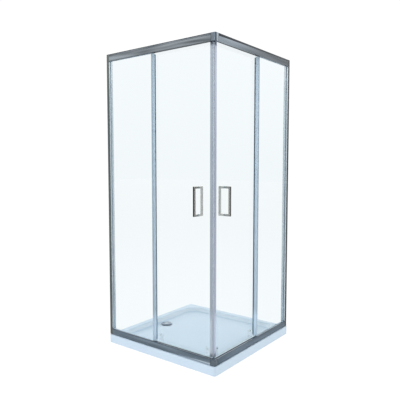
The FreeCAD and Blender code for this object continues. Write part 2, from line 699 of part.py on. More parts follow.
pane_low = "( tray_height + bottom_rail_height - slot_depth + gasket_web )"
pane_high = "( tray_height + enclosure_height - top_rail_height + slot_depth - gasket_web )"
pane_end = "( wing_length - post_face + post_slot_depth - gasket_web )"


def make_fixed_pane():
    glass = (pane_inset, pane_inset + " + glass_thickness")
    pane = wing_box("pane", ("pane_edge_along", pane_end), glass, (pane_low, pane_high))
    keep_pair(pane, "fixed_glass")

    proud = "gasket_proud"
    slot = ("slot_inset", slot_inner)
    rail_top = "( tray_height + bottom_rail_height )"
    rail_under = "( %s - top_rail_height )" % frame_top
    lower = (rail_top + " - slot_depth", rail_top + " + " + proud)
    upper = (rail_under + " - " + proud, rail_under + " + slot_depth")
    wall_side = ("wing_length - post_face - " + proud, "wing_length - post_face + post_slot_depth")
    run = ("pane_edge_along + edge_profile_leg", wall_side[0])
    strips = []
    for name, heights, inside in (("lower", lower, (lower[0] + " + gasket_web", lower[1] + " + overrun")),
                                  ("upper", upper, (upper[0] + " - overrun", upper[1] + " - gasket_web"))):
        blank = wing_box("gasket_%s_blank" % name, run, slot, heights)
        slit = wing_box("gasket_%s_slit" % name, (run[0] + " - overrun", run[1] + " + overrun"),
                        glass, inside)
        strips.append(cut("gasket_" + name, blank, [slit]))
    tall = (lower[1], upper[0])
    blank = wing_box("gasket_side_blank", wall_side, slot, tall)
    slit = wing_box("gasket_side_slit", (wall_side[0] + " - overrun", wall_side[1] + " - gasket_web"),
                    glass, (tall[0] + " - overrun", tall[1] + " + overrun"))
    strips.append(cut("gasket_side", blank, [slit]))
    one_wing = group("gaskets_front", strips)
    keep(group("gaskets", [one_wing, mirrored(one_wing, "gaskets_side")]), "glazing_gaskets")

    between = (rail_top, rail_under)
    wall = "edge_profile_wall"
    web_along = "( pane_edge_along - edge_profile_wall )"
    legs = ("pane_edge_along", "pane_edge_along + edge_profile_leg")
    web = wing_box("edge_web", (web_along, "pane_edge_along"),
                   (glass[0] + " - " + wall, glass[1] + " + " + wall), between)
    outer_leg = wing_box("edge_outer_leg", legs, (glass[0] + " - " + wall, glass[0]), between)
    inner_leg = wing_box("edge_inner_leg", legs, (glass[1], glass[1] + " + " + wall), between)
    fin = wing_box("edge_fin", (web_along, "pane_edge_along"),
                   (glass[1] + " + " + wall, glass[1] + " + %s + fin_reach" % wall), between)
    keep_pair(fuse("edge_profile", [web, outer_leg, inner_leg, fin]), "fixed_edge_profile")


make_fixed_pane()


# sliding door: glass with holes for handle and rollers

top_axle = "( %s - %s )" % (frame_top, wheel_rise)
low_axle = "( tray_height + %s )" % wheel_rise
guide_low = "( door_bottom_height + guide_above_edge )"
guide_pin_height = "( door_bottom_height + guide_above_edge + guide_length - guide_pin_diameter )"
handle_rise = "( ( handle_length - handle_bar ) / 2 )"
handle_levels = ("handle_height - " + handle_rise, "handle_height + " + handle_rise)
wheel_places = (("lead", "lead_wheel_along"), ("trail", "trail_wheel_along"))


def make_door_glass():
    pane = wing_box("door_blank", ("door_front_along", "door_edge_along"), ("door_inset", "door_back"),
                    ("door_bottom_height", door_top))
    through = ("door_inset - overrun", "door_back + overrun")
    tools = []
    for i, level in enumerate(handle_levels):
        tools.append(wing_rod("door_handle_hole_%d" % i, "handle_hole_diameter",
                              "handle_along", through, level))
    for name, along in wheel_places:
        bush = "hub_bush_diameter + 2 * bush_clearance"
        tools.append(wing_rod("door_top_hole_" + name, bush, along, through, top_axle))
        pin = "guide_pin_diameter + 2 * bush_clearance"
        tools.append(wing_rod("door_low_hole_" + name, pin, along, through, guide_pin_height))
    keep_pair(cut("door", pane, tools), "door_glass")


# closing stile with its magnetic seal: the seals of both doors meet on the tray's diagonal

def make_stile():
    wall = "stile_wall"
    face = "( door_inset - stile_wall )"
    back = "( door_back + stile_wall )"
    heights = ("door_bottom_height + stile_end_gap", door_top + " - stile_end_gap")
    span = ("stile_along", "stile_along + stile_width")
    outer_leg = wing_box("stile_outer_leg", span, (face, "door_inset"), heights)
    inner_leg = wing_box("stile_inner_leg", span, ("door_back", back), heights)
    web = wing_box("stile_web", ("stile_web_along", "door_front_along"), (face, back), heights)
    keep_pair(fuse("stile", [outer_leg, inner_leg, web]), "closing_stile")

    # the head is cut at 45 degrees along the diagonal, with the root held between the stile's legs
    low, high = "( %s + seal_shrink )" % face, "( %s - seal_shrink )" % back
    end = "( stile_along - seal_shrink )"
    root = "( stile_along + seal_root )"
    root_low, root_high = "( door_inset + seal_shrink )", "( door_back - seal_shrink )"
    body = make_body("seal")
    section = sketch_on(body, "XY_Plane", "seal_section")
    draw_outline(section, [(low + " + seal_gap", low), (end, low), (end, root_low), (root, root_low),
                           (root, root_high), (end, root_high), (end, high), (high + " + seal_gap", high)])
    pad(body, section, "seal_run", "( %s ) - ( %s )" % (heights[1], heights[0]))
    # the sketch is drawn as along and inset, so the body is flipped to face the corner
    turn = FreeCAD.Rotation(FreeCAD.Vector(0, 1, 0), 180)
    place(body, outer, "0 - " + outer, heights[1], turn)
    keep_pair(body, "magnetic_seal")


# trailing profile: closes the gap to the fixed pane with a hook behind its fin

def make_trailing_profile():
    wall = "edge_profile_wall"
    heights = ("tray_height + bottom_rail_height + trailing_end_gap",
               frame_top + " - top_rail_height - trailing_end_gap")
    legs = ("door_edge_along - trailing_leg", "door_edge_along")
    end = ("door_edge_along", "door_edge_along + " + wall)
    web = wing_box("trailing_web", end, ("door_inset - " + wall, "door_back + " + wall), heights)
    outer_leg = wing_box("trailing_outer_leg", legs, ("door_inset - " + wall, "door_inset"), heights)
    inner_leg = wing_box("trailing_inner_leg", legs, ("door_back", "door_back + " + wall), heights)
    hook_along = "( pane_edge_along + hook_gap )"
    hook = wing_box("trailing_hook", (hook_along, hook_along + " + " + wall),
                    ("door_inset - %s - hook_reach" % wall, "door_inset - " + wall), heights)
    keep_pair(fuse("trailing", [web, outer_leg, inner_leg, hook]), "trailing_profile")


make_door_glass()
make_stile()
make_trailing_profile()


# handles: two square D handles back to back, clamped through the glass by studs

def make_handle(name, near, far, outside):
    """A D handle between the washer face and the bar's far face."""
    half = "handle_bar / 2"
    along = ("handle_along - " + half, "handle_along + " + half)
    whole = ("handle_height - handle_length / 2", "handle_height + handle_length / 2")
    blank = wing_box(name + "_blank", along, (near, far), whole)
    inside = (whole[0] + " + handle_bar", whole[1] + " - handle_bar")
    wide = (along[0] + " - overrun", along[1] + " + overrun")
    gap = (near + " - overrun", far + " - handle_bar")
    span = (near + " - overrun", near + " + stud_grip")
    if outside:
        gap = (near + " + handle_bar", far + " + overrun")
        span = (far + " - stud_grip", far + " + overrun")
    window = wing_box(name + "_window", wide, gap, inside)
    frame = cut(name + "_frame", blank, [window])
    clamped = edges_on_inset(far if outside else near)
    rounded = round_edges(name + "_rounded", frame, "handle_radius", lambda edge: not clamped(edge))
    size = "stud_diameter + 2 * stud_clearance"
    bores = [wing_rod("%s_bore_%d" % (name, i), size, "handle_along", span, level)
             for i, level in enumerate(handle_levels)]
    return cut(name, rounded, bores)


outer_near = "( door_inset - handle_projection )"
outer_far = "( door_inset - washer_thickness )"
inner_near = "( door_back + washer_thickness )"
inner_far = "( door_back + handle_projection )"


def make_handles():
    keep_pair(make_handle("handle_out", outer_near, outer_far, True), "outer_handle")
    keep_pair(make_handle("handle_in", inner_near, inner_far, False), "inner_handle")
    studs, washers = [], []
    for i, level in enumerate(handle_levels):
        reach = " stud_grip - washer_thickness"
        span = ("%s - (%s )" % (outer_far, reach), inner_near + " +" + reach)
        studs.append(wing_rod("stud_%d" % i, "stud_diameter", "handle_along", span, level))
        for j, inset in enumerate(((outer_far, "door_inset"), ("door_back", inner_near))):
            disc = wing_rod("washer_disc_%d_%d" % (i, j), "washer_diameter", "handle_along", inset, level)
            hole = wing_rod("washer_hole_%d_%d" % (i, j), "stud_diameter + 2 * stud_clearance",
                            "handle_along", (inset[0] + " - overrun", inset[1] + " + overrun"), level)
            washers.append(cut("washer_%d_%d" % (i, j), disc, [hole]))
    keep_pair(group("studs", studs), "handle_studs")
    keep_pair(group("washers", washers), "handle_washers")


make_handles()


# rollers: grooved wheels that run on the rib of each rail's track

def make_wheel(name, along, height):
    inset = (wheel_inset, wheel_inset + " + wheel_width")
    middle = "( rib_inset + rib_width / 2 )"
    groove = ("%s - rib_width / 2 - groove_side_clearance" % middle,
              "%s + rib_width / 2 + groove_side_clearance" % middle)
    core = wing_rod(name + "_core", "2 * wheel_groove_radius", along, inset, height)
    near = wing_rod(name + "_near_flange", "2 * wheel_radius", along, (inset[0], groove[0]), height)
    far = wing_rod(name + "_far_flange", "2 * wheel_radius", along, (groove[1], inset[1]), height)
    bore = wing_rod(name + "_bore", "axle_diameter + 2 * wheel_bore_clearance", along,
                    (inset[0] + " - overrun", inset[1] + " + overrun"), height)
    return cut(name, fuse(name + "_solid", [near, core, far]), [bore])


def axle_pieces(name, along, height, end):
    """The axle through a wheel, with its head and its collar."""
    head_far = "( %s - axle_side_play )" % wheel_inset
    collar_near = "( %s + wheel_width + axle_side_play )" % wheel_inset
    head = wing_rod(name + "_head", "axle_head_diameter", along,
                    (head_far + " - axle_head_thickness", head_far), height)
    pin = wing_rod(name + "_pin", "axle_diameter", along, (head_far, end), height)
    collar = wing_rod(name + "_collar", "axle_head_diameter", along,
                      (collar_near, collar_near + " + axle_head_thickness"), height)
    return [head, pin, collar]


def make_rollers():
    axles, hubs = [], []
    for name, along in wheel_places:
        keep_pair(make_wheel("upper_wheel_" + name, along, top_axle), "upper_wheel_" + name)
        keep_pair(make_wheel("lower_wheel_" + name, along, low_axle), "lower_wheel_" + name)
        pieces = axle_pieces("upper_axle_" + name, along, top_axle, "door_back")
        axles.append(fuse("upper_axle_" + name, pieces))
        # the hub clamps the glass between an outer disc and the round cap inside
        bore = wing_rod("hub_bore_" + name, "axle_diameter", along,
                        ("door_inset - hub_thickness - overrun", "door_back"), top_axle)
        disc = wing_rod("hub_disc_" + name, "hub_diameter", along,
                        ("door_inset - hub_thickness", "door_inset"), top_axle)
        bush = wing_rod("hub_bush_" + name, "hub_bush_diameter", along,
                        ("door_inset", "door_back"), top_axle)
        cap = wing_rod("hub_cap_" + name, "roller_cap_diameter", along,
                       ("door_back", "door_back + roller_cap_thickness"), top_axle)
        soft_cap = round_edges("hub_cap_rounded_" + name, cap, "roller_cap_radius",
                               edges_on_inset("door_back + roller_cap_thickness"))
        hubs.append(cut("hub_" + name, fuse("hub_solid_" + name, [disc, bush, soft_cap]), [bore]))
    keep_pair(group("upper_axles", axles), "upper_roller_axles")
    keep_pair(group("upper_hubs", hubs), "upper_roller_hubs")


make_rollers()


# lower rollers: a guide on the glass holds a sprung slider, pressed down to free the door

def make_lower_rollers():
    guides, springs = [], []
    guide_back = "( door_back + guide_depth )"
    slider_near = "( door_back + guide_wall )"
    slider_far = "( door_back + guide_depth - guide_wall )"
    slider_top = "( %s + slider_rise )" % guide_low
    spring_top = "( %s + guide_length - 2 * guide_wall )" % guide_low
    for name, along in wheel_places:
        half = "guide_width / 2"
        block = wing_box("guide_block_" + name, ("%s - %s" % (along, half), "%s + %s" % (along, half)),
                         ("door_back", guide_back), (guide_low, guide_low + " + guide_length"))
        room = wing_box("guide_room_" + name,
                        ("%s - %s + guide_wall" % (along, half), "%s + %s - guide_wall" % (along, half)),
                        (slider_near, slider_far),
                        (guide_low + " - overrun", guide_low + " + guide_length - guide_wall"))
        pin = wing_rod("guide_pin_" + name, "guide_pin_diameter", along,
                       ("door_inset", "door_back + guide_wall / 2"), guide_pin_height)
        shell = cut("guide_shell_" + name, block, [room])
        soft = round_edges("guide_soft_" + name, shell, "guide_wall / 2", edges_on_inset(guide_back))
        guides.append(fuse("guide_" + name, [soft, pin]))

        reach = "( guide_width / 2 - guide_wall - slider_play )"
        slider_span = ("%s - %s" % (along, reach), "%s + %s" % (along, reach))
        plate = wing_box("slider_plate_" + name, slider_span,
                         (slider_near + " + slider_play", slider_far + " - slider_play"),
                         (low_axle + " - slider_drop", slider_top))
        tab = wing_box("slider_tab_" + name, slider_span,
                       (slider_far + " - slider_play", slider_far + " + tab_reach"),
                       (low_axle + " - slider_drop", low_axle + " - slider_drop + tab_height"))
        axle = axle_pieces("slider_axle_" + name, along, low_axle, slider_near + " + 2 * slider_play")
        slider = fuse("slider_" + name, [plate, tab] + axle)
        keep_pair(slider, "lower_slider_" + name)

        coil = doc.addObject("Part::Helix", "spring_line_" + name)
        rise = "( %s - %s )" % (spring_top, slider_top)
        coil.setExpression("Radius", bound("spring_diameter / 2"))
        coil.setExpression("Height", bound(rise + " - 2 * spring_wire"))
        coil.setExpression("Pitch", bound("( %s - 2 * spring_wire ) / %d" % (rise, spring_turns)))
        wire = doc.addObject("Part::Circle", "spring_wire_" + name)
        wire.setExpression("Radius", bound("spring_wire / 2"))
        x = "%s - %s" % (outer, along)
        y = "( %s + %s ) / 2 - %s" % (slider_near, slider_far, outer)
        z = slider_top + " + spring_wire"
        place(coil, x, y, z)
        place(wire, x + " + spring_diameter / 2", y, z, inwards)
        doc.recompute()
        spring = doc.addObject("Part::Sweep", "spring_" + name)
        spring.Sections = [wire]
        spring.Spine = coil
        spring.Solid = True
        spring.Frenet = True
        springs.append(spring)
    keep_pair(group("guides", guides), "lower_roller_guides")
    keep_pair(group("springs", springs), "release_springs")


make_lower_rollers()


# buffers in the top track stop each door at both ends of its travel

def make_buffers():
    floor = "( %s - shelf_height + profile_wall )" % frame_top
    inset = ("inner_wall", "inner_wall + buffer_depth")
    closed_end = "( lead_wheel_along - wheel_radius - buffer_gap )"
    open_end = "( trail_wheel_along + door_travel + wheel_radius + buffer_gap )"
    buffers = []
    for name, low, high in (("closed", closed_end + " - buffer_length", closed_end),
                            ("open", open_end, open_end + " + buffer_length")):
        block = wing_box("buffer_block_" + name, (low, high), inset, (floor, floor + " + buffer_height"))
        groove = wing_box("buffer_groove_" + name, (low + " - overrun", high + " + overrun"),
                          ("rib_inset - buffer_clearance", "rib_inset + rib_width + buffer_clearance"),
                          (floor + " - overrun", floor + " + rib_height + buffer_clearance"))
        buffers.append(cut("buffer_" + name, block, [groove]))
    one_wing = group("buffers_front", buffers)
    keep(group("buffers", [one_wing, mirrored(one_wing, "buffers_side")]), "door_buffers")


make_buffers()


# frame screws: they hold the posts in the channels and the rails on the corner connectors

def make_screws():
    screws = []
    for i, level in enumerate(post_screw_levels):
        screws.append(screw("post_screw_%d" % i, post_screw_along, "rail_depth", level))
    for i, level in enumerate(corner_screw_levels):
        screws.append(screw("corner_screw_%d" % i, "corner_screw_along", "inner_wall", level))
    one_wing = group("screws_front", screws)
    keep(group("screws", [one_wing, mirrored(one_wing, "screws_side")]), "frame_screws")


make_screws()


# the finished pieces are checked, then written one file each

doc.recompute()
failed = [item.Name for item in doc.Objects if "Invalid" in item.State or "Error" in item.State]
if failed:
    raise RuntimeError("not computed: " + ", ".join(failed))
os.makedirs("parts", exist_ok=True)
for item in parts:
    shape = item.Shape
    if shape.isNull() or not shape.isValid() or not shape.Solids:
        raise RuntimeError("no valid solid in " + item.Label)
    shape.exportStep(os.path.join("parts", item.Label + ".step"))
    b = shape.BoundBox
    print("%-26s %3d solids  volume %12.1f  x %.1f to %.1f  y %.1f to %.1f  z %.1f to %.1f" % (
        item.Label, len(shape.Solids), shape.Volume, b.XMin, b.XMax, b.YMin, b.YMax, b.ZMin, b.ZMax))
print(len(parts), "pieces")
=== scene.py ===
import json
from math import pi, radians
import bmesh
import bpy
from mathutils import Euler, Matrix, Vector

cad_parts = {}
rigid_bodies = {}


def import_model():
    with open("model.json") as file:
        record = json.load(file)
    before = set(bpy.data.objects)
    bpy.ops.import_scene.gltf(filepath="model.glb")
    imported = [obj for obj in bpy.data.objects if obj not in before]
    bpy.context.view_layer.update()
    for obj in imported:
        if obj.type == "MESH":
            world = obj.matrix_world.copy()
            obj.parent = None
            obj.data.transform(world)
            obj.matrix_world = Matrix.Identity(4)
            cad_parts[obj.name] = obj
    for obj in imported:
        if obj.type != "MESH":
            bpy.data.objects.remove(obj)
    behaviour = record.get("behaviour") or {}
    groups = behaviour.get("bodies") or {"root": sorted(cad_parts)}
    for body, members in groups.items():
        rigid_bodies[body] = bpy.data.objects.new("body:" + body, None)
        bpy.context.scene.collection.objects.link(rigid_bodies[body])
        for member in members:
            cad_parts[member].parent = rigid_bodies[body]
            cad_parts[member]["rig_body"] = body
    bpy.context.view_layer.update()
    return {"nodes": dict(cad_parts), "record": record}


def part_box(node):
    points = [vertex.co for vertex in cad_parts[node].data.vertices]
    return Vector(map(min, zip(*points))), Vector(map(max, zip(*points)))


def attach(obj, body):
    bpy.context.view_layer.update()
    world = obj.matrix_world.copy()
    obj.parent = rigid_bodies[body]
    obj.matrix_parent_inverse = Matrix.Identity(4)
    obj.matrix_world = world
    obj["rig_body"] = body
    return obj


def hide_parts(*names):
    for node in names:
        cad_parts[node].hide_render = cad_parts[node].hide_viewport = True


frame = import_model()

mm = 0.001
wings = ("front", "side")


# small helpers for materials

def hexColour(code):
    # sRGB hex to linear
    shares = [int(code[i:i + 2], 16) / 255 for i in (0, 2, 4)]
    return [x / 12.92 if x <= 0.04045 else ((x + 0.055) / 1.055) ** 2.4 for x in shares] + [1]


def addNode(tree, kind, settings=None, inputs=None):
    # an input that is given a node takes that node's first output
    node = tree.nodes.new("ShaderNode" + kind)
    for name, setting in (settings or {}).items():
        setattr(node, name, setting)
    for name, given in (inputs or {}).items():
        if isinstance(given, bpy.types.Node):
            given = given.outputs[0]
        if isinstance(given, bpy.types.NodeSocket):
            tree.links.new(given, node.inputs[name])
        else:
            node.inputs[name].default_value = given
    return node


def newMaterial(name):
    material = bpy.data.materials.new(name)
    material.use_nodes = True
    material.node_tree.nodes.clear()
    return material, material.node_tree


def paintShadingAlong(tree, colour, place, run, paintedShading):
    # painted light and shade: scales a colour from pale to deep between two places along a bar
    start, stop, deep, pale = paintedShading
    along = addNode(tree, "SeparateXYZ", inputs={0: place}).outputs["xyz".index(run)]
    level = addNode(tree, "MapRange", {"interpolation_type": "SMOOTHSTEP"}, {
        "Value": along, "From Min": start, "From Max": stop, "To Min": pale, "To Max": deep})
    return addNode(tree, "VectorMath", {"operation": "SCALE"}, {0: colour, "Scale": level})


# kinds of material

def drawnAluminium(name, run, look):
    # extruded, brushed along its length, then satin anodised: long soft streaks in a cool sheen
    material, tree = newMaterial(name)
    place = addNode(tree, "TexCoord").outputs["Object"]
    axis = "xyz".index(run)
    # real lines are 0.1 mm apart, drawn wider so that they show
    fine = [1 / look["lineWidth"]] * 3
    fine[axis] = 1 / look["lineLength"]
    drawn = addNode(tree, "Mapping", inputs={"Vector": place, "Scale": fine})
    lines = addNode(tree, "TexNoise", inputs={
        "Vector": drawn, "Scale": 1.0, "Detail": look["lineDetail"]})
    broad = [1 / look["streakWidth"]] * 3
    broad[axis] = 1 / look["streakLength"]
    slanted = addNode(tree, "Mapping", inputs={
        "Vector": place, "Scale": broad, "Rotation": look["slant"]})
    streaks = addNode(tree, "TexNoise", inputs={
        "Vector": slanted, "Scale": 1.0, "Detail": look["streakDetail"]})
    mixed = addNode(tree, "Mix", {"data_type": "FLOAT"}, {
        0: look["streakShare"], 2: lines, 3: streaks})
    shade = addNode(tree, "MapRange", inputs={
        "Value": mixed, "From Min": look["mixedFrom"], "From Max": look["mixedTo"]})
    colour = addNode(tree, "Mix", {"data_type": "RGBA"}, {
        0: shade, 6: hexColour(look["dark"]), 7: hexColour(look["light"])}).outputs[2]
    if "paintedShading" in look:
        colour = paintShadingAlong(tree, colour, place, run, look["paintedShading"])
    rough = addNode(tree, "MapRange", inputs={
        "Value": lines, "From Min": look["lineFrom"], "From Max": look["lineTo"],
        "To Min": look["smooth"], "To Max": look["rough"]})
    bump = addNode(tree, "Bump", inputs={
        "Height": lines, "Distance": look["lineDepth"], "Strength": look["lineStrength"]})
    shader = addNode(tree, "BsdfPrincipled", inputs={
        "Base Color": colour, "Metallic": look["metal"], "Roughness": rough, "Normal": bump})
    addNode(tree, "OutputMaterial", inputs={"Surface": shader})
    return material


def toughenedGlass(name):
    # float glass, toughened: clear with a cool tint, polished faces that mirror more at a slant
    look = {"tint": "f7fafb", "sheen": "f2f6f9", "ripple": 180 * mm, "rippleDepth": 0.02 * mm,
            "polish": 0.02, "blend": 0.5, "straight": 0.015, "slanted": 0.35, "turn": 5.0}
    material, tree = newMaterial(name)
    place = addNode(tree, "TexCoord").outputs["Object"]
    wave = addNode(tree, "TexNoise", inputs={
        "Vector": place, "Scale": 1 / look["ripple"], "Detail": 0.0})
    bump = addNode(tree, "Bump", inputs={"Height": wave, "Distance": look["rippleDepth"]})
    clear = addNode(tree, "BsdfTransparent", inputs={"Color": hexColour(look["tint"])})
    mirror = addNode(tree, "BsdfGlossy", inputs={
        "Color": hexColour(look["sheen"]), "Roughness": look["polish"], "Normal": bump})
    facing = addNode(tree, "LayerWeight", inputs={"Blend": look["blend"]}).outputs["Facing"]
    steep = addNode(tree, "Math", {"operation": "POWER"}, {0: facing, 1: look["turn"]})
    share = addNode(tree, "MapRange", inputs={
        "Value": steep, "To Min": look["straight"], "To Max": look["slanted"]})
    shader = addNode(tree, "MixShader", inputs={0: share, 1: clear, 2: mirror})
    addNode(tree, "OutputMaterial", inputs={"Surface": shader})
    return material


def groundEdge(name):
    # the glass's ground and arrised edge: frosted, with the green of the glass's depth
    look = {"light": "c3dcda", "dark": "a9c9c6", "grit": 0.6 * mm, "gritDetail": 2.0,
            "gritDepth": 0.02 * mm, "rough": 0.35, "bend": 1.52, "through": 0.45}
    material, tree = newMaterial(name)
    place = addNode(tree, "TexCoord").outputs["Object"]
    grit = addNode(tree, "TexNoise", inputs={
        "Vector": place, "Scale": 1 / look["grit"], "Detail": look["gritDetail"]})
    colour = addNode(tree, "Mix", {"data_type": "RGBA"}, {
        0: grit, 6: hexColour(look["dark"]), 7: hexColour(look["light"])}).outputs[2]
    bump = addNode(tree, "Bump", inputs={"Height": grit, "Distance": look["gritDepth"]})
    frosted = addNode(tree, "BsdfPrincipled", inputs={
        "Base Color": colour, "Roughness": look["rough"], "IOR": look["bend"], "Normal": bump})
    clear = addNode(tree, "BsdfTransparent", inputs={"Color": hexColour(look["light"])})
    shader = addNode(tree, "MixShader", inputs={0: look["through"], 1: frosted, 2: clear})
    addNode(tree, "OutputMaterial", inputs={"Surface": shader})
    return material


def castAcrylic(name, hasPaleSlope):
    # acrylic sheet, vacuum formed and backed: white gloss with a faint orange peel
    look = {"light": "cfe2f3", "dark": "c4d9ec", "peel": 9 * mm, "peelDetail": 1.0,
            "peelDepth": 0.03 * mm, "peelStrength": 0.4, "cloud": 260 * mm, "cloudDetail": 2.0,
            "smooth": 0.3, "rough": 0.42, "bend": 1.49, "shine": 0.3,
            "paleSlope": "dae7f2", "paleSlopeAt": 42 * mm, "paleSlopeHalf": 12 * mm, "paleSlopeFull": 7 * mm}
    material, tree = newMaterial(name)
    place = addNode(tree, "TexCoord").outputs["Object"]
    peel = addNode(tree, "TexNoise", inputs={
        "Vector": place, "Scale": 1 / look["peel"], "Detail": look["peelDetail"]})
    cloud = addNode(tree, "TexNoise", inputs={
        "Vector": place, "Scale": 1 / look["cloud"], "Detail": look["cloudDetail"]})
    colour = addNode(tree, "Mix", {"data_type": "RGBA"}, {
        0: cloud, 6: hexColour(look["dark"]), 7: hexColour(look["light"])}).outputs[2]
    if hasPaleSlope:
        # a paler band is painted round the basin's slope
        height = addNode(tree, "SeparateXYZ", inputs={0: place}).outputs[2]
        offset = addNode(tree, "Math", {"operation": "SUBTRACT"}, {0: height, 1: look["paleSlopeAt"]})
        apart = addNode(tree, "Math", {"operation": "ABSOLUTE"}, {0: offset})
        paleSlope = addNode(tree, "MapRange", inputs={
            "Value": apart, "From Min": look["paleSlopeHalf"], "From Max": look["paleSlopeFull"]})
        colour = addNode(tree, "Mix", {"data_type": "RGBA"}, {
            0: paleSlope, 6: colour, 7: hexColour(look["paleSlope"])}).outputs[2]
    rough = addNode(tree, "MapRange", inputs={
        "Value": cloud, "To Min": look["smooth"], "To Max": look["rough"]})
    bump = addNode(tree, "Bump", inputs={
        "Height": peel, "Distance": look["peelDepth"], "Strength": look["peelStrength"]})
    shader = addNode(tree, "BsdfPrincipled", inputs={
        "Base Color": colour, "Roughness": rough, "IOR": look["bend"],
        "Specular IOR Level": look["shine"], "Normal": bump})
    addNode(tree, "OutputMaterial", inputs={"Surface": shader})
    return material


def speckled(name, look):
    # a solid colour that changes a little from place to place, with a fine skin
    spread = {"detail": 3.0, "from": 0.3, "to": 0.7}
    material, tree = newMaterial(name)
    place = addNode(tree, "TexCoord").outputs["Object"]
    spots = addNode(tree, "TexNoise", inputs={
        "Vector": place, "Scale": 1 / look["grain"], "Detail": spread["detail"]})
    shade = addNode(tree, "MapRange", inputs={
        "Value": spots, "From Min": spread["from"], "From Max": spread["to"]})
    colour = addNode(tree, "Mix", {"data_type": "RGBA"}, {
        0: shade, 6: hexColour(look["dark"]), 7: hexColour(look["light"])}).outputs[2]
    rough = addNode(tree, "MapRange", inputs={
        "Value": shade, "To Min": look["smooth"], "To Max": look["rough"]})
    bump = addNode(tree, "Bump", inputs={"Height": spots, "Distance": look["depth"]})
    shader = addNode(tree, "BsdfPrincipled", inputs={
        "Base Color": colour, "Roughness": rough, "Normal": bump, **look["shader"]})
    addNode(tree, "OutputMaterial", inputs={"Surface": shader})
    return material


def clearPlastic(name, look):
    # a clear plastic, moulded or extruded: mostly seen through, with a soft shine and a milky body
    flowDetail = 1.0
    material, tree = newMaterial(name)
    place = addNode(tree, "TexCoord").outputs["Object"]
    flow = addNode(tree, "TexNoise", inputs={
        "Vector": place, "Scale": 1 / look["flow"], "Detail": flowDetail})
    colour = addNode(tree, "Mix", {"data_type": "RGBA"}, {
        0: flow, 6: hexColour(look["dark"]), 7: hexColour(look["light"])}).outputs[2]
    # painted light: paler at the foot, where the white tray lights it
    if "foot" in look:
        colour = paintShadingAlong(tree, colour, place, "z", look["foot"])
    bump = addNode(tree, "Bump", inputs={"Height": flow, "Distance": look["depth"]})
    body = addNode(tree, "BsdfPrincipled", inputs={
        "Base Color": colour, "Roughness": look["rough"], "IOR": look["bend"], "Normal": bump})
    tint = hexColour(look["tint"])
    if "throughBend" in look:
        clear = addNode(tree, "BsdfRefraction", inputs={
            "Color": tint, "Roughness": 0.0, "IOR": look["throughBend"]})
    else:
        clear = addNode(tree, "BsdfTransparent", inputs={"Color": tint})
    shader = addNode(tree, "MixShader", inputs={0: look["through"], 1: body, 2: clear})
    addNode(tree, "OutputMaterial", inputs={"Surface": shader})
    return material


# looks of the aluminium: the front bottom rail's, and what differs on the other parts; each bar's
# tone is painted reflection on the one anodised finish

# rails: a mid blue grey, with long streaks that slant a little
railLook = {"light": "788793", "dark": "4c5965", "lineWidth": 0.9 * mm, "lineLength": 400 * mm,
            "lineDetail": 2.0, "lineFrom": 0.3, "lineTo": 0.7, "lineDepth": 0.004 * mm,
            "lineStrength": 0.5, "streakWidth": 34 * mm, "streakLength": 420 * mm,
            "streakDetail": 1.0, "slant": (0.05, -0.05, 0), "streakShare": 0.75,
            "mixedFrom": 0.35, "mixedTo": 0.65, "smooth": 0.2, "rough": 0.28, "metal": 1.0}
# the side bottom rail: a darker copy, painted reflection
sideRailLook = dict(railLook, light="697a88", dark="42505d")
# top rails: streaks with more contrast in front, and at the side a painted shade, paler at the
# corner and darker away from it
topRailLook = dict(railLook, light="7d858c", dark="3a4147", streakWidth=24 * mm,
                   streakLength=380 * mm, slant=(0, -0.07, 0), streakShare=0.85)
sideTopLook = dict(railLook, light="757f88", dark="4f5a63", paintedShading=(-450 * mm, 150 * mm, 0.52, 1.3))
# the rails' lines, painted shade: a dark top edge, a nearly black lip at the side, and bluer feet
edgeShadeLook = dict(railLook, light="3f474f", dark="323a41")
lipShadeLook = dict(railLook, light="343a40", dark="2a3035")
footShadowLook = dict(railLook, light="4b5a69", dark="3e4b58")
# tracks: a flatter tone, painted for the shade inside the rails
trackShadeLook = dict(railLook, light="737f8b", dark="65717d", streakShare=0.4)
# the front foot's wedge: a painted highlight
highlightLook = dict(railLook, light="9fadb9", dark="8c9ba8")
# stiles: bright satin, paler at their feet where the white tray lights them
stileLook = dict(railLook, light="9da9b5", dark="8794a0", rough=0.3, metal=0.5,
                 streakShare=0.4, paintedShading=(290 * mm, 380 * mm, 1.0, 1.45))
# the side stiles: a paler, bluer copy, painted light
sideStileLook = dict(stileLook, light="a9b2c6", dark="939db2")
# inner faces: pale, as they face the white tray
innerLook = dict(railLook, light="a3afba", dark="7b8894", metal=0.8)
# wall channels: a neutral dark grey, darker still at the side, painted shade
channelLook = dict(railLook, light="606867", dark="4a5252", streakShare=0.4)
sideChannelLook = dict(channelLook, light="2f3436", dark="24292b")
# the posts' returns beside the glass: nearly white, painted light
postLook = dict(railLook, light="d2d8dc", dark="bec4c9", metal=0.5, streakShare=0.4)


# materials

# chrome plate: a dark, clean mirror with hardly any grain
chrome = speckled("chrome plated zinc", {
    "light": "3c3f41", "dark": "323537", "grain": 30 * mm, "depth": 0.002 * mm,
    "smooth": 0.06, "rough": 0.1, "shader": {"Metallic": 1.0}})
# the inner handles: the same chrome plate in a paler, softer tone than the outer ones', painted
# light
paleLitChrome = speckled("chrome plated zinc, inner, painted light", {
    "light": "d3cfcc", "dark": "c5c1be", "grain": 6 * mm, "depth": 0.004 * mm,
    "smooth": 0.18, "rough": 0.26, "shader": {"Metallic": 1.0}})
# the outer handles' returns: the same plate a little darker than the inner handles and lighter than
# their own fronts, painted light and shade
shadedReturnChrome = speckled("chrome plated zinc, returns, painted shade", {
    "light": "aba8a5", "dark": "9c9996", "grain": 6 * mm, "depth": 0.004 * mm,
    "smooth": 0.18, "rough": 0.26, "shader": {"Metallic": 1.0}})
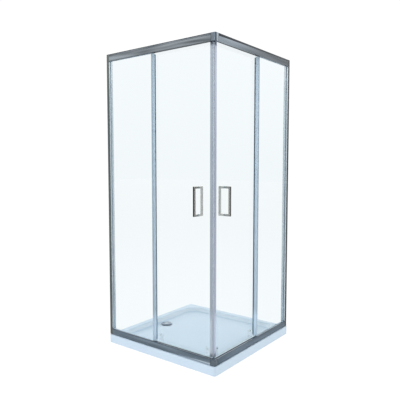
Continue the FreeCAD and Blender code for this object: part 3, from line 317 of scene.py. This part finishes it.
# the crown of the drain cover, and the waste flange: paler and softer; on the crown the paleness is
# a painted highlight
brightChrome = speckled("chrome plated steel pressing", {
    "light": "b4c3d1", "dark": "a8b8c6", "grain": 12 * mm, "depth": 0.004 * mm,
    "smooth": 0.3, "rough": 0.4, "shader": {"Metallic": 0.6}})
# the ring round that crown: a darker mirror, painted dark reflection
lidDarkReflection = speckled("chrome plated steel, painted dark reflection", {
    "light": "68788b", "dark": "5c6c7f", "grain": 30 * mm, "depth": 0.002 * mm,
    "smooth": 0.08, "rough": 0.14, "shader": {"Metallic": 1.0}})
# turned stainless steel: a satin grey from the tool's fine rings
turnedSteel = speckled("turned stainless steel", {
    "light": "a5a9ab", "dark": "8e9395", "grain": 4 * mm, "depth": 0.01 * mm,
    "smooth": 0.22, "rough": 0.34, "shader": {"Metallic": 1.0}})
# spring wire: pale from its zinc, so fine that it hardly shows
springSteel = speckled("zinc plated spring wire", {
    "light": "dde2e6", "dark": "d0d6db", "grain": 3 * mm, "depth": 0.004 * mm,
    "smooth": 0.3, "rough": 0.4, "shader": {"Metallic": 0.4}})
# glass filled nylon, painted silver to go with the frame: satin over a fine spark finish
greyNylon = speckled("moulded nylon painted silver", {
    "light": "616c76", "dark": "57626c", "grain": 14 * mm, "depth": 0.004 * mm,
    "smooth": 0.24, "rough": 0.32, "shader": {"Metallic": 0.9}})
# that paint in the gap beside the rails: a dark line of painted shadow
gapShadowNylon = speckled("moulded nylon, painted shadow beside the rail", {
    "light": "333b43", "dark": "2a3138", "grain": 14 * mm, "depth": 0.004 * mm,
    "smooth": 0.3, "rough": 0.4, "shader": {"Metallic": 0.9}})
# and a bright band at the corner: a painted highlight
paintedHighlightNylon = speckled("moulded nylon painted silver, painted highlight", {
    "light": "98a2ab", "dark": "8b959e", "grain": 14 * mm, "depth": 0.004 * mm,
    "smooth": 0.16, "rough": 0.22, "shader": {"Metallic": 0.9}})
# acetal: waxy white
acetal = speckled("moulded white acetal", {
    "light": "e6e8e6", "dark": "dcdedc", "grain": 3 * mm, "depth": 0.01 * mm,
    "smooth": 0.28, "rough": 0.4, "shader": {"IOR": 1.48}})
# polypropylene: dull grey with a soft waxy skin
polypropylene = speckled("moulded grey polypropylene", {
    "light": "9ba0a2", "dark": "8f9496", "grain": 2 * mm, "depth": 0.03 * mm,
    "smooth": 0.4, "rough": 0.55, "shader": {"IOR": 1.49}})
# recycled plastic feet: nearly black and matt
footPlastic = speckled("moulded black plastic", {
    "light": "2c2d2f", "dark": "232426", "grain": 2 * mm, "depth": 0.04 * mm,
    "smooth": 0.45, "rough": 0.6, "shader": {"IOR": 1.5}})
# nitrile rubber: black and dead matt
rubber = speckled("moulded black rubber", {
    "light": "353638", "dark": "2a2b2d", "grain": 1.5 * mm, "depth": 0.05 * mm,
    "smooth": 0.6, "rough": 0.75, "shader": {"IOR": 1.52}})
# chipboard sealed with resin: flakes of tan and brown under a dull varnish
chipboard = speckled("sealed chipboard", {
    "light": "b08e63", "dark": "8a6a45", "grain": 4 * mm, "depth": 0.2 * mm,
    "smooth": 0.6, "rough": 0.8, "shader": {"IOR": 1.5}})
# soft vinyl: a clear strip gone slightly milky
vinyl = clearPlastic("extruded clear vinyl", {
    "light": "dbe6f0", "dark": "c3d0e0", "flow": 20 * mm, "depth": 0.03 * mm,
    "rough": 0.3, "bend": 1.53, "through": 0.45, "tint": "dbe6f0"})
# a stiffer vinyl for gaskets and the strips between pane and door: milky with a cool cast, and
# paler at the foot, painted light from the white tray
milkyVinyl = clearPlastic("extruded milky vinyl", {
    "light": "d6e8f6", "dark": "c6d9e8", "flow": 60 * mm, "depth": 0.02 * mm, "rough": 0.25,
    "bend": 1.53, "through": 0.25, "tint": "d6e8f6", "foot": (220 * mm, 300 * mm, 1.0, 1.3)})
# the strips' front faces, and the trailing strips whole: a darker copy of that vinyl, painted
# shade, paler at the foot, painted light from the white tray
shadedVinyl = clearPlastic("extruded milky vinyl, painted shade", {
    "light": "93a8b9", "dark": "8196a7", "flow": 60 * mm, "depth": 0.02 * mm, "rough": 0.25,
    "bend": 1.53, "through": 0.12, "tint": "93a8b9", "foot": (220 * mm, 300 * mm, 1.0, 1.5)})
# the guides on the glass are clear nylon, so that they hardly show from the room
nylonLook = {"light": "eef4f9", "dark": "e4ecf3", "flow": 9 * mm, "depth": 0.02 * mm,
             "rough": 0.35, "bend": 1.53, "tint": "ffffff"}
clearNylon = clearPlastic("moulded clear nylon", dict(nylonLook, through=0.98))
# the sliders inside them are solid, so that light bends through them
clearSlider = clearPlastic("moulded clear nylon, solid",
                           dict(nylonLook, through=0.97, throughBend=1.01))

railAlongX = drawnAluminium("anodised aluminium rail along x", "x", railLook)
railAlongY = drawnAluminium("anodised aluminium rail along y", "y", sideRailLook)
topAlongX = drawnAluminium("anodised aluminium top rail along x", "x", topRailLook)
topAlongY = drawnAluminium("anodised aluminium top rail along y", "y", sideTopLook)
# the rails' painted tones: shade on the edges, lip, feet and tracks, a highlight on the front
# foot's wedge, and light on the inner faces
paintedEdgeShadeAlongX = drawnAluminium("anodised edge, painted shade, along x", "x", edgeShadeLook)
paintedLipShadeAlongY = drawnAluminium("anodised lip, painted shade, along y", "y", lipShadeLook)
paintedFootShadowAlongX = drawnAluminium("blue grey anodised edge along x", "x", footShadowLook)
paintedFootShadowAlongY = drawnAluminium("blue grey anodised edge along y", "y", footShadowLook)
paintedTrackShadeAlongX = drawnAluminium("aluminium track, painted shade, along x", "x", trackShadeLook)
paintedTrackShadeAlongY = drawnAluminium("aluminium track, painted shade, along y", "y", trackShadeLook)
paintedHighlightAlongX = drawnAluminium("polished anodised lip along x", "x", highlightLook)
innerAlongX = drawnAluminium("anodised aluminium inner face along x", "x", innerLook)
innerAlongY = drawnAluminium("anodised aluminium inner face along y", "y", innerLook)
innerAluminium = drawnAluminium("anodised aluminium inner face", "z", innerLook)
channelAluminium = drawnAluminium("anodised aluminium wall channel", "z", channelLook)
sideChannelAluminium = drawnAluminium("darker anodised wall channel", "z", sideChannelLook)
postAluminium = drawnAluminium("bright anodised aluminium post", "z", postLook)
stileAluminium = drawnAluminium("bright anodised aluminium stile", "z", stileLook)
sideStileAluminium = drawnAluminium("bright anodised aluminium side stile", "z", sideStileLook)
glass = toughenedGlass("toughened float glass")
glassEdge = groundEdge("ground edge of float glass")
acrylic = castAcrylic("vacuum formed white acrylic", False)
paleSlopeAcrylic = castAcrylic("vacuum formed white acrylic, paler slope", True)

finishBySlot = {
    "white_acrylic": acrylic, "chipboard": chipboard, "moulded_foot_plastic": footPlastic,
    "grey_polypropylene": polypropylene, "stainless_steel": turnedSteel, "chromed_zinc": chrome,
    "anodised_aluminium": channelAluminium, "clear_glass": glass, "clear_vinyl": vinyl,
    "milky_vinyl": milkyVinyl, "grey_nylon": greyNylon, "clear_nylon": clearNylon,
    "white_acetal": acetal, "buffer_rubber": rubber,
}
finishByName = {
    "front_bottom_rail": railAlongX, "front_top_rail": topAlongX,
    "side_bottom_rail": railAlongY, "side_top_rail": topAlongY,
    "side_wall_channel": sideChannelAluminium, "side_wall_post": sideChannelAluminium,
    "front_closing_stile": stileAluminium, "side_closing_stile": sideStileAluminium,
    "drain_cover": brightChrome, "waste_flange": brightChrome, "glazing_gaskets": milkyVinyl,
}
for wing in wings:
    finishByName.update({
        wing + "_inner_handle": paleLitChrome, wing + "_release_springs": springSteel,
        wing + "_fixed_edge_profile": shadedVinyl, wing + "_trailing_profile": shadedVinyl,
        wing + "_lower_slider_lead": clearSlider, wing + "_lower_slider_trail": clearSlider})
slotOf = {part["node"]: part["material_slot"] for part in frame["record"]["subparts"]}


def finishFor(name):
    return finishByName.get(name, finishBySlot[slotOf[name]])


for name, piece in frame["nodes"].items():
    piece.data.materials.clear()
    piece.data.materials.append(finishFor(name))
print("materials done")


# small helpers for pieces

def finishPiece(bm, name, standsFor, finishes, crease=35):
    # turns the working mesh into a piece that stands for a CAD node and moves with its body
    for face in bm.faces:
        face.smooth = True
    for edge in bm.edges:
        edge.smooth = len(edge.link_faces) == 2 and edge.calc_face_angle() < radians(crease)
    mesh = bpy.data.meshes.new(name)
    bm.to_mesh(mesh)
    bm.free()
    for finish in finishes:
        mesh.materials.append(finish)
    piece = bpy.data.objects.new(name, mesh)
    bpy.context.scene.collection.objects.link(piece)
    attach(piece, frame["nodes"][standsFor]["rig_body"])
    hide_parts(standsFor)
    return piece


def mergedCopy(node):
    # a CAD node's loose triangles merged, with its flats made whole
    same = {"distance": 0.002 * mm, "angle": 0.3}
    bm = bmesh.new()
    bm.from_mesh(frame["nodes"][node].data)
    bmesh.ops.remove_doubles(bm, verts=bm.verts, dist=same["distance"])
    bmesh.ops.dissolve_limit(bm, angle_limit=radians(same["angle"]), verts=bm.verts, edges=bm.edges)
    return bm


def roundOff(bm, parts, kind, width, steps):
    return bmesh.ops.bevel(bm, geom=parts, offset=width, affect=kind, segments=steps,
                           profile=0.5, material=-1, clamp_overlap=False)


def breakEdges(bm, width, shortest=1 * mm):
    # real edges are never knife sharp: this takes them off, as tumbling or deburring does
    sharpFrom = radians(40)
    sharp = [edge for edge in bm.edges if edge.is_manifold
             and edge.calc_face_angle() > sharpFrom and edge.calc_length() > shortest]
    roundOff(bm, sharp, "EDGES", width, 2)


def evenShading(piece):
    weighted = piece.modifiers.new("even shading", "WEIGHTED_NORMAL")
    weighted.keep_sharp = True


# shower tray: a soft formed shell, bridged from ring to ring, from the skirt to the underside

def makeTray():
    tray = {"half": 450 * mm, "top": 55 * mm, "corner": 14 * mm, "cornerSteps": 20,
            "skirt": 6 * mm, "rim": 46 * mm, "rimFall": 0.6 * mm, "rimUnder": 50 * mm,
            "basinCorner": 110 * mm, "slope": 14.4 * mm, "floor": 30 * mm, "floorSteps": 9,
            "pan": 25 * mm, "panRadius": 48 * mm, "recess": 22 * mm, "recessRadius": 46 * mm,
            "hole": 31 * mm, "under": 17 * mm, "wall": 5 * mm, "draft": 0.5 * mm,
            "skin": 1 * mm, "drain": (-332 * mm, 12 * mm),
            # by ring: radius and segments of its rounding
            "rounds": {1: (3 * mm, 4), 2: (9 * mm, 8), 3: (8 * mm, 10), 5: (1.2 * mm, 3)},
            "panRing": 4}
    bm = bmesh.new()
    count = 4 * (tray["cornerSteps"] + 1)

    def squareRing(half, corner, height):
        lift = Matrix.Translation((0, 0, height))
        made = bmesh.ops.create_grid(bm, x_segments=1, y_segments=1, size=half, matrix=lift)
        rounded = roundOff(bm, made["verts"], "VERTICES", corner, tray["cornerSteps"])
        face = rounded["verts"][0].link_faces[0]
        edges = list(face.edges)
        bmesh.ops.delete(bm, geom=[face], context="FACES_ONLY")
        return edges

    def roundRing(radius, height):
        place = Matrix.Translation((tray["drain"][0], tray["drain"][1], height))
        made = bmesh.ops.create_circle(bm, segments=count, radius=radius, matrix=place)
        return list({edge for vert in made["verts"] for edge in vert.link_edges})

    inner = tray["half"] - tray["rim"]
    innerUnder = inner + tray["wall"]
    cornerUnder = tray["basinCorner"] + tray["wall"]
    skirtInside = tray["half"] - tray["skirt"]
    skirtCorner = tray["corner"] - tray["skirt"]
    rings = [
        squareRing(tray["half"], tray["corner"], 0),
        squareRing(tray["half"], tray["corner"], tray["top"]),
        squareRing(inner, tray["basinCorner"], tray["top"] - tray["rimFall"]),
        squareRing(inner - tray["slope"], tray["basinCorner"] - tray["slope"], tray["floor"]),
        roundRing(tray["panRadius"], tray["pan"]),
        roundRing(tray["recessRadius"], tray["pan"] - tray["draft"]),
        roundRing(tray["recessRadius"], tray["recess"]),
        roundRing(tray["hole"], tray["recess"] - tray["draft"]),
        roundRing(tray["hole"], tray["under"]),
        squareRing(innerUnder, cornerUnder, tray["under"]),
        squareRing(innerUnder, cornerUnder, tray["rimUnder"]),
        squareRing(skirtInside, skirtCorner, tray["rimUnder"] - tray["draft"]),
        squareRing(skirtInside, skirtCorner, tray["draft"]),
    ]
    for near, far in zip(rings, rings[1:] + rings[:1]):
        bmesh.ops.bridge_loops(bm, edges=near + far)
    pan = {vert for edge in rings[tray["panRing"]] for vert in edge.verts}
    for ring, (radius, steps) in tray["rounds"].items():
        roundOff(bm, rings[ring], "EDGES", radius, steps)
    # the wide floor falls evenly only in smaller faces
    spokes = [edge for edge in {edge for vert in pan for edge in vert.link_edges}
              if not set(edge.verts) <= pan]
    bmesh.ops.subdivide_edges(bm, edges=spokes, cuts=tray["floorSteps"], use_grid_fill=True)
    bmesh.ops.recalc_face_normals(bm, faces=bm.faces)
    for face in bm.faces:
        middle = face.calc_center_median()
        isBasin = max(abs(middle.x), abs(middle.y)) < inner
        isAbove = middle.z > tray["under"] + tray["skin"]
        face.material_index = int(isBasin and isAbove)
    evenShading(finishPiece(bm, "formed_shower_tray", "shower_tray", [acrylic, paleSlopeAcrylic]))


# drain cover: a pressed and chromed lid with a rolled rim and a soft crown, on three feet

def makeDrainCover():
    # the outline is given as radius and height, in mm
    lid = {"outline": ((0, 26.9), (37, 26.9), (38.6, 26.9), (39, 27.7), (38.8, 28.9), (37.4, 29.9),
                       (32.2, 30.5), (30, 30.0), (27.8, 30.8), (18, 31.3), (8, 31.55), (0, 31.6)),
           "crown": 15 * mm, "turns": 72, "roll": 0.6, "weld": 0.01 * mm, "crease": 50,
           "feet": 3, "footCircle": 33 * mm, "footTop": 27.5 * mm, "footRadius": 3.5 * mm,
           "footTip": 3.2 * mm, "footSides": 24}
    low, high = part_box("drain_cover")
    middle = Vector(((low.x + high.x) / 2, (low.y + high.y) / 2, 0))
    bm = bmesh.new()
    points = [bm.verts.new(middle + Vector((x, 0, z)) * mm) for x, z in lid["outline"]]
    runs = [bm.edges.new(pair) for pair in zip(points, points[1:])]
    bmesh.ops.subdivide_edges(bm, edges=runs, cuts=1, smooth=lid["roll"])
    bmesh.ops.spin(bm, geom=list(bm.verts) + list(bm.edges), cent=middle, axis=(0, 0, 1),
                   angle=2 * pi, steps=lid["turns"], use_merge=True)
    bmesh.ops.remove_doubles(bm, verts=bm.verts, dist=lid["weld"])
    bmesh.ops.recalc_face_normals(bm, faces=bm.faces)
    # the ring outside the crown takes the darker chrome: painted dark reflection round a painted
    # highlight
    for face in bm.faces:
        apart = (face.calc_center_median() - middle).xy.length
        face.material_index = int(apart > lid["crown"])
    height = lid["footTop"] - low.z
    for i in range(lid["feet"]):
        turn = Matrix.Rotation(2 * pi * i / lid["feet"], 4, "Z")
        spot = middle + turn @ Vector((lid["footCircle"], 0, low.z + height / 2))
        bmesh.ops.create_cone(bm, cap_ends=True, segments=lid["footSides"],
                              radius1=lid["footTip"], radius2=lid["footRadius"],
                              depth=height, matrix=Matrix.Translation(spot))
    finishPiece(bm, "pressed_drain_cover", "drain_cover", [brightChrome, lidDarkReflection], lid["crease"])


# frame: the extruded and moulded parts with their edges broken

def cutAt(bm, place, across):
    bmesh.ops.bisect_plane(bm, geom=list(bm.verts) + list(bm.edges) + list(bm.faces),
                           plane_co=place, plane_no=across)


def shapeRail(bm, wing, part, edges):
    # painted light and shade: the long edges take a darker tone, painted shade; the side wing's top
    # lip is painted dark all over and deeper towards the corner; the front wing's foot has a
    # painted highlight in a long wedge; and the bottom tracks inside take a flatter tone painted
    # for their shade
    rail = {"darkEdge": 4.5 * mm, "foot": 2.2 * mm, "face": 442 * mm, "depth": 32 * mm,
            "skin": 1 * mm, "wedgeFrom": 60 * mm, "wedgeTo": 400 * mm, "wedgeHeight": 15 * mm,
            "lip": 10 * mm, "lipFrom": -410 * mm, "lipTo": -100 * mm, "lipFall": 6 * mm}
    bodyFinish, paintedEdgeShade, innerFinish, paintedHighlight, paintedTrackShade = range(5)
    low, high = edges
    isTop = part == "top_rail"
    hasWedge = wing == "front" and not isTop
    hasLip = wing == "side" and isTop
    upper = high - (rail["lip"] if hasLip else rail["darkEdge"])
    lower = low + rail["foot"]
    wedgeStart = Vector((rail["wedgeFrom"], 0, low))
    rise = Vector((-rail["wedgeHeight"], 0, rail["wedgeTo"] - rail["wedgeFrom"])).normalized()
    lipEnd = Vector((0, rail["lipTo"], upper))
    fall = Vector((0, -rail["lipFall"], rail["lipTo"] - rail["lipFrom"])).normalized()
    for height in (lower, upper):
        cutAt(bm, (0, 0, height), (0, 0, 1))
    if hasWedge:
        cutAt(bm, wedgeStart, rise)
    if hasLip:
        cutAt(bm, lipEnd, fall)
    for face in bm.faces:
        middle = face.calc_center_median()
        behind = rail["face"] - (-middle.y if wing == "front" else middle.x)
        if hasLip:
            isEdge = middle.z > upper or fall.dot(middle - lipEnd) > 0
        else:
            isEdge = middle.z > upper or middle.z < lower
        if behind > rail["depth"] - rail["skin"]:
            face.material_index = innerFinish
        elif behind > rail["skin"] and not isTop:
            face.material_index = paintedTrackShade
        elif hasWedge and rise.dot(middle - wedgeStart) < 0:
            face.material_index = paintedHighlight
        else:
            face.material_index = paintedEdgeShade if isEdge else bodyFinish


def shadeByFacing(bm, wing):
    # painted light and shade by facing: the faces turned to the room take one tone, the returns and
    # the inner faces a lighter one
    outwards = Vector((0, -1, 0)) if wing == "front" else Vector((1, 0, 0))
    nearlyStraight = 0.9
    for face in bm.faces:
        face.material_index = int(face.normal.dot(outwards) < nearlyStraight)


def shadeConnector(bm, node):
    # painted shadow: a dark gap at the end of each arm; and a painted highlight: a bright band on
    # the top one's right arm
    corner = {"face": 442 * mm, "skin": 1 * mm, "gap": 412 * mm,
              "highlightFrom": 414 * mm, "highlightTo": 424 * mm}
    bodyFinish, paintedGapShadow, paintedHighlight = range(3)
    for across in (Vector((1, 0, 0)), Vector((0, -1, 0))):
        for stop in ("gap", "highlightFrom", "highlightTo"):
            cutAt(bm, across * corner[stop], across)
    for face in bm.faces:
        middle = face.calc_center_median()
        along = min(middle.x, -middle.y)
        isOuter = max(middle.x, -middle.y) > corner["face"] - corner["skin"]
        isHighlight = middle.x > -middle.y and corner["highlightFrom"] < along < corner["highlightTo"]
        if isOuter and along < corner["gap"]:
            face.material_index = paintedGapShadow
        elif isOuter and isHighlight and node.startswith("top"):
            face.material_index = paintedHighlight
        else:
            face.material_index = bodyFinish


def makeFrame():
    # widths of the broken edges
    broken = {"wall_channel": 0.6 * mm, "wall_post": 0.6 * mm, "bottom_rail": 0.8 * mm,
              "top_rail": 0.8 * mm, "fixed_edge_profile": 0.5 * mm, "closing_stile": 0.5 * mm,
              "trailing_profile": 0.5 * mm, "inner_handle": 0.8 * mm, "outer_handle": 0.8 * mm}
    connectors = {"bottom_corner_connector": 0.6 * mm, "top_corner_connector": 0.6 * mm}
    # the rails' painted tones: shade on the edges and tracks, light on the inner faces, and a
    # highlight on the wedge
    railPaintedTones = {
        "front_top_rail": [paintedEdgeShadeAlongX, innerAlongX],
        "side_top_rail": [paintedLipShadeAlongY, innerAlongY],
        "front_bottom_rail": [paintedFootShadowAlongX, innerAlongX, paintedHighlightAlongX, paintedTrackShadeAlongX],
        "side_bottom_rail": [paintedFootShadowAlongY, innerAlongY, paintedHighlightAlongX, paintedTrackShadeAlongY]}
    # the returns' lighter tones, painted light by facing
    returnShading = {"wall_post": postAluminium, "wall_channel": innerAluminium,
                    "fixed_edge_profile": milkyVinyl, "outer_handle": shadedReturnChrome}
    for part, width in broken.items():
        for wing in wings:
            node = wing + "_" + part
            finishes = [finishFor(node)]
            bm = mergedCopy(node)
            if part.endswith("_rail"):
                low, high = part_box(node)
                shapeRail(bm, wing, part, (low.z, high.z))
                finishes += railPaintedTones[node]
            elif part in returnShading:
                shadeByFacing(bm, wing)
                finishes.append(returnShading[part])
            breakEdges(bm, width)
            evenShading(finishPiece(bm, "deburred_" + node, node, finishes))
    for node, width in connectors.items():
        bm = mergedCopy(node)
        shadeConnector(bm, node)
        breakEdges(bm, width)
        finishes = [finishFor(node), gapShadowNylon, paintedHighlightNylon]
        evenShading(finishPiece(bm, "moulded_" + node, node, finishes))


# fittings: moulded, turned and cut parts with the soft edges of their processes

def makeFittings():
    shared = {"door_buffers": 1 * mm, "tray_base_board": 1 * mm, "tray_support_pads": 0.8 * mm,
              "waste_flange": 0.4 * mm, "waste_body": 0.5 * mm, "hair_strainer": 0.25 * mm,
              "frame_screws": 0.15 * mm}
    perWing = {"magnetic_seal": 0.4 * mm, "handle_studs": 0.2 * mm, "handle_washers": 0.3 * mm,
               "upper_roller_axles": 0.2 * mm, "upper_roller_hubs": 0.8 * mm,
               "lower_roller_guides": 0.8 * mm,
               "lower_slider_lead": 0.6 * mm, "lower_slider_trail": 0.6 * mm,
               "upper_wheel_lead": 0.3 * mm, "upper_wheel_trail": 0.3 * mm,
               "lower_wheel_lead": 0.3 * mm, "lower_wheel_trail": 0.3 * mm}
    widths = dict(shared)
    for wing in wings:
        widths.update({wing + "_" + part: width for part, width in perWing.items()})
    for node, width in widths.items():
        bm = mergedCopy(node)
        breakEdges(bm, width)
        evenShading(finishPiece(bm, "softened_" + node, node, [finishFor(node)]))


# glass: each pane with its edges ground and arrised

def makeGlass():
    panes = {"parts": ("fixed_glass", "door_glass"), "arris": 0.8 * mm,
             "shortest": 20 * mm, "nearlyStraight": 0.99}
    for wing in wings:
        across = 1 if wing == "front" else 0  # the axis through the pane
        for part in panes["parts"]:
            node = wing + "_" + part
            bm = mergedCopy(node)
            breakEdges(bm, panes["arris"], panes["shortest"])
            for face in bm.faces:
                face.material_index = int(abs(face.normal[across]) <= panes["nearlyStraight"])
            evenShading(finishPiece(bm, "arrised_" + node, node, [glass, glassEdge]))


makeTray()
makeDrainCover()
print("tray and drain cover done")
makeFrame()
makeFittings()
makeGlass()
print("frame, fittings and glass done")


# camera, worked out from the corners of the frame in the photograph

def makeCamera():
    view = {"azimuth": 37.56, "down": 4.156, "roll": 0.001, "lens": 42.167, "sensor": 36.0,
            "place": (1982.2 * mm, -2584.2 * mm, 1217.0 * mm)}
    data = bpy.data.cameras.new("camera")
    data.lens = view["lens"]
    data.sensor_width = view["sensor"]
    camera = bpy.data.objects.new("camera", data)
    turn = Euler((radians(90 - view["down"]), 0, radians(view["azimuth"]))).to_matrix().to_4x4()
    roll = Matrix.Rotation(radians(view["roll"]), 4, "Z")
    camera.matrix_world = Matrix.Translation(view["place"]) @ turn @ roll
    bpy.context.scene.collection.objects.link(camera)
    bpy.context.scene.camera = camera


# studio: a white floor, a soft light over the camera and another overhead, in a pale room whose
# dim ceiling and near wall draw the dark lines on the metal's edges

def makeLight(name, lamp):
    data = bpy.data.lights.new(name, "AREA")
    data.size = lamp["size"]
    data.energy = lamp["power"]
    data.color = hexColour(lamp["colour"])[:3]
    light = bpy.data.objects.new(name, data)
    place = Vector(lamp["place"])
    light.location = place
    light.rotation_euler = (Vector(lamp["aim"]) - place).to_track_quat("-Z", "Y").to_euler()
    bpy.context.scene.collection.objects.link(light)


def makeFloor():
    look = {"side": 60.0, "colour": "626262", "rough": 0.9, "shine": 0.1,
            "glow": "ffffff", "lift": 0.92}
    mesh = bpy.data.meshes.new("floor")
    bm = bmesh.new()
    bmesh.ops.create_grid(bm, x_segments=1, y_segments=1, size=look["side"] / 2)
    bm.to_mesh(mesh)
    bm.free()
    floor = bpy.data.objects.new("floor", mesh)
    bpy.context.scene.collection.objects.link(floor)
    # painted board that glows a little, so that it looks plain white under the object
    material, tree = newMaterial("white studio floor")
    shader = addNode(tree, "BsdfPrincipled", inputs={
        "Base Color": hexColour(look["colour"]), "Roughness": look["rough"],
        "Specular IOR Level": look["shine"],
        "Emission Color": hexColour(look["glow"]), "Emission Strength": look["lift"]})
    addNode(tree, "OutputMaterial", inputs={"Surface": shader})
    mesh.materials.append(material)


def makeRoom():
    room = {"level": 0.95, "above": 2.0, "wallTop": 0.3, "dim": 0.12,
            "ceilingFrom": 0.5, "ceilingTo": 0.75,
            "nearSide": (0.61, -0.79, 0.0), "nearFrom": 0.55, "nearTo": 0.85,
            "low": "f4f8ff", "high": "fbf5ee", "warmTop": 0.35,
            "backdrop": "ffffff", "backdropLevel": 1.04}
    world = bpy.data.worlds.new("studio")
    bpy.context.scene.world = world
    world.use_nodes = True
    tree = world.node_tree
    tree.nodes.clear()
    direction = addNode(tree, "TexCoord").outputs["Generated"]
    height = addNode(tree, "SeparateXYZ", inputs={0: direction}).outputs[2]
    walls = addNode(tree, "MapRange", inputs={
        "Value": height, "From Max": room["wallTop"],
        "To Min": room["level"], "To Max": room["above"]})
    ceiling = addNode(tree, "MapRange", {"interpolation_type": "SMOOTHSTEP"}, {
        "Value": height, "From Min": room["ceilingFrom"], "From Max": room["ceilingTo"]})
    along = addNode(tree, "VectorMath", {"operation": "DOT_PRODUCT"}, {
        0: direction, 1: room["nearSide"]}).outputs["Value"]
    near = addNode(tree, "MapRange", {"interpolation_type": "SMOOTHSTEP"}, {
        "Value": along, "From Min": room["nearFrom"], "From Max": room["nearTo"]})
    dark = addNode(tree, "Math", {"operation": "MAXIMUM"}, {0: ceiling, 1: near})
    lit = addNode(tree, "Mix", {"data_type": "FLOAT"}, {0: dark, 2: walls, 3: room["dim"]})
    # the camera sees a plain backdrop instead of the room
    seen = addNode(tree, "LightPath").outputs["Is Camera Ray"]
    strength = addNode(tree, "Mix", {"data_type": "FLOAT"}, {
        0: seen, 2: lit, 3: room["backdropLevel"]})
    upwards = addNode(tree, "MapRange", inputs={"Value": height, "From Max": room["warmTop"]})
    warmth = addNode(tree, "Mix", {"data_type": "RGBA"}, {
        0: upwards, 6: hexColour(room["low"]), 7: hexColour(room["high"])}).outputs[2]
    tone = addNode(tree, "Mix", {"data_type": "RGBA"}, {
        0: seen, 6: warmth, 7: hexColour(room["backdrop"])}).outputs[2]
    sky = addNode(tree, "Background", inputs={"Color": tone, "Strength": strength})
    addNode(tree, "OutputWorld", inputs={"Surface": sky})


def makeStudio():
    lamps = {
        "key": {"place": (1.0, -4.3, 3.8), "aim": (0, 0, 0.6), "size": 3.0, "power": 82,
                "colour": "ffffff"},
        "top": {"place": (0, 0, 4.6), "aim": (0, 0, 0), "size": 3.0, "power": 68,
                "colour": "ffffff"}}
    makeFloor()
    makeRoom()
    for name, lamp in lamps.items():
        makeLight(name, lamp)
    bpy.context.scene.view_settings.view_transform = "Standard"


makeCamera()
makeStudio()
print("camera and studio done")
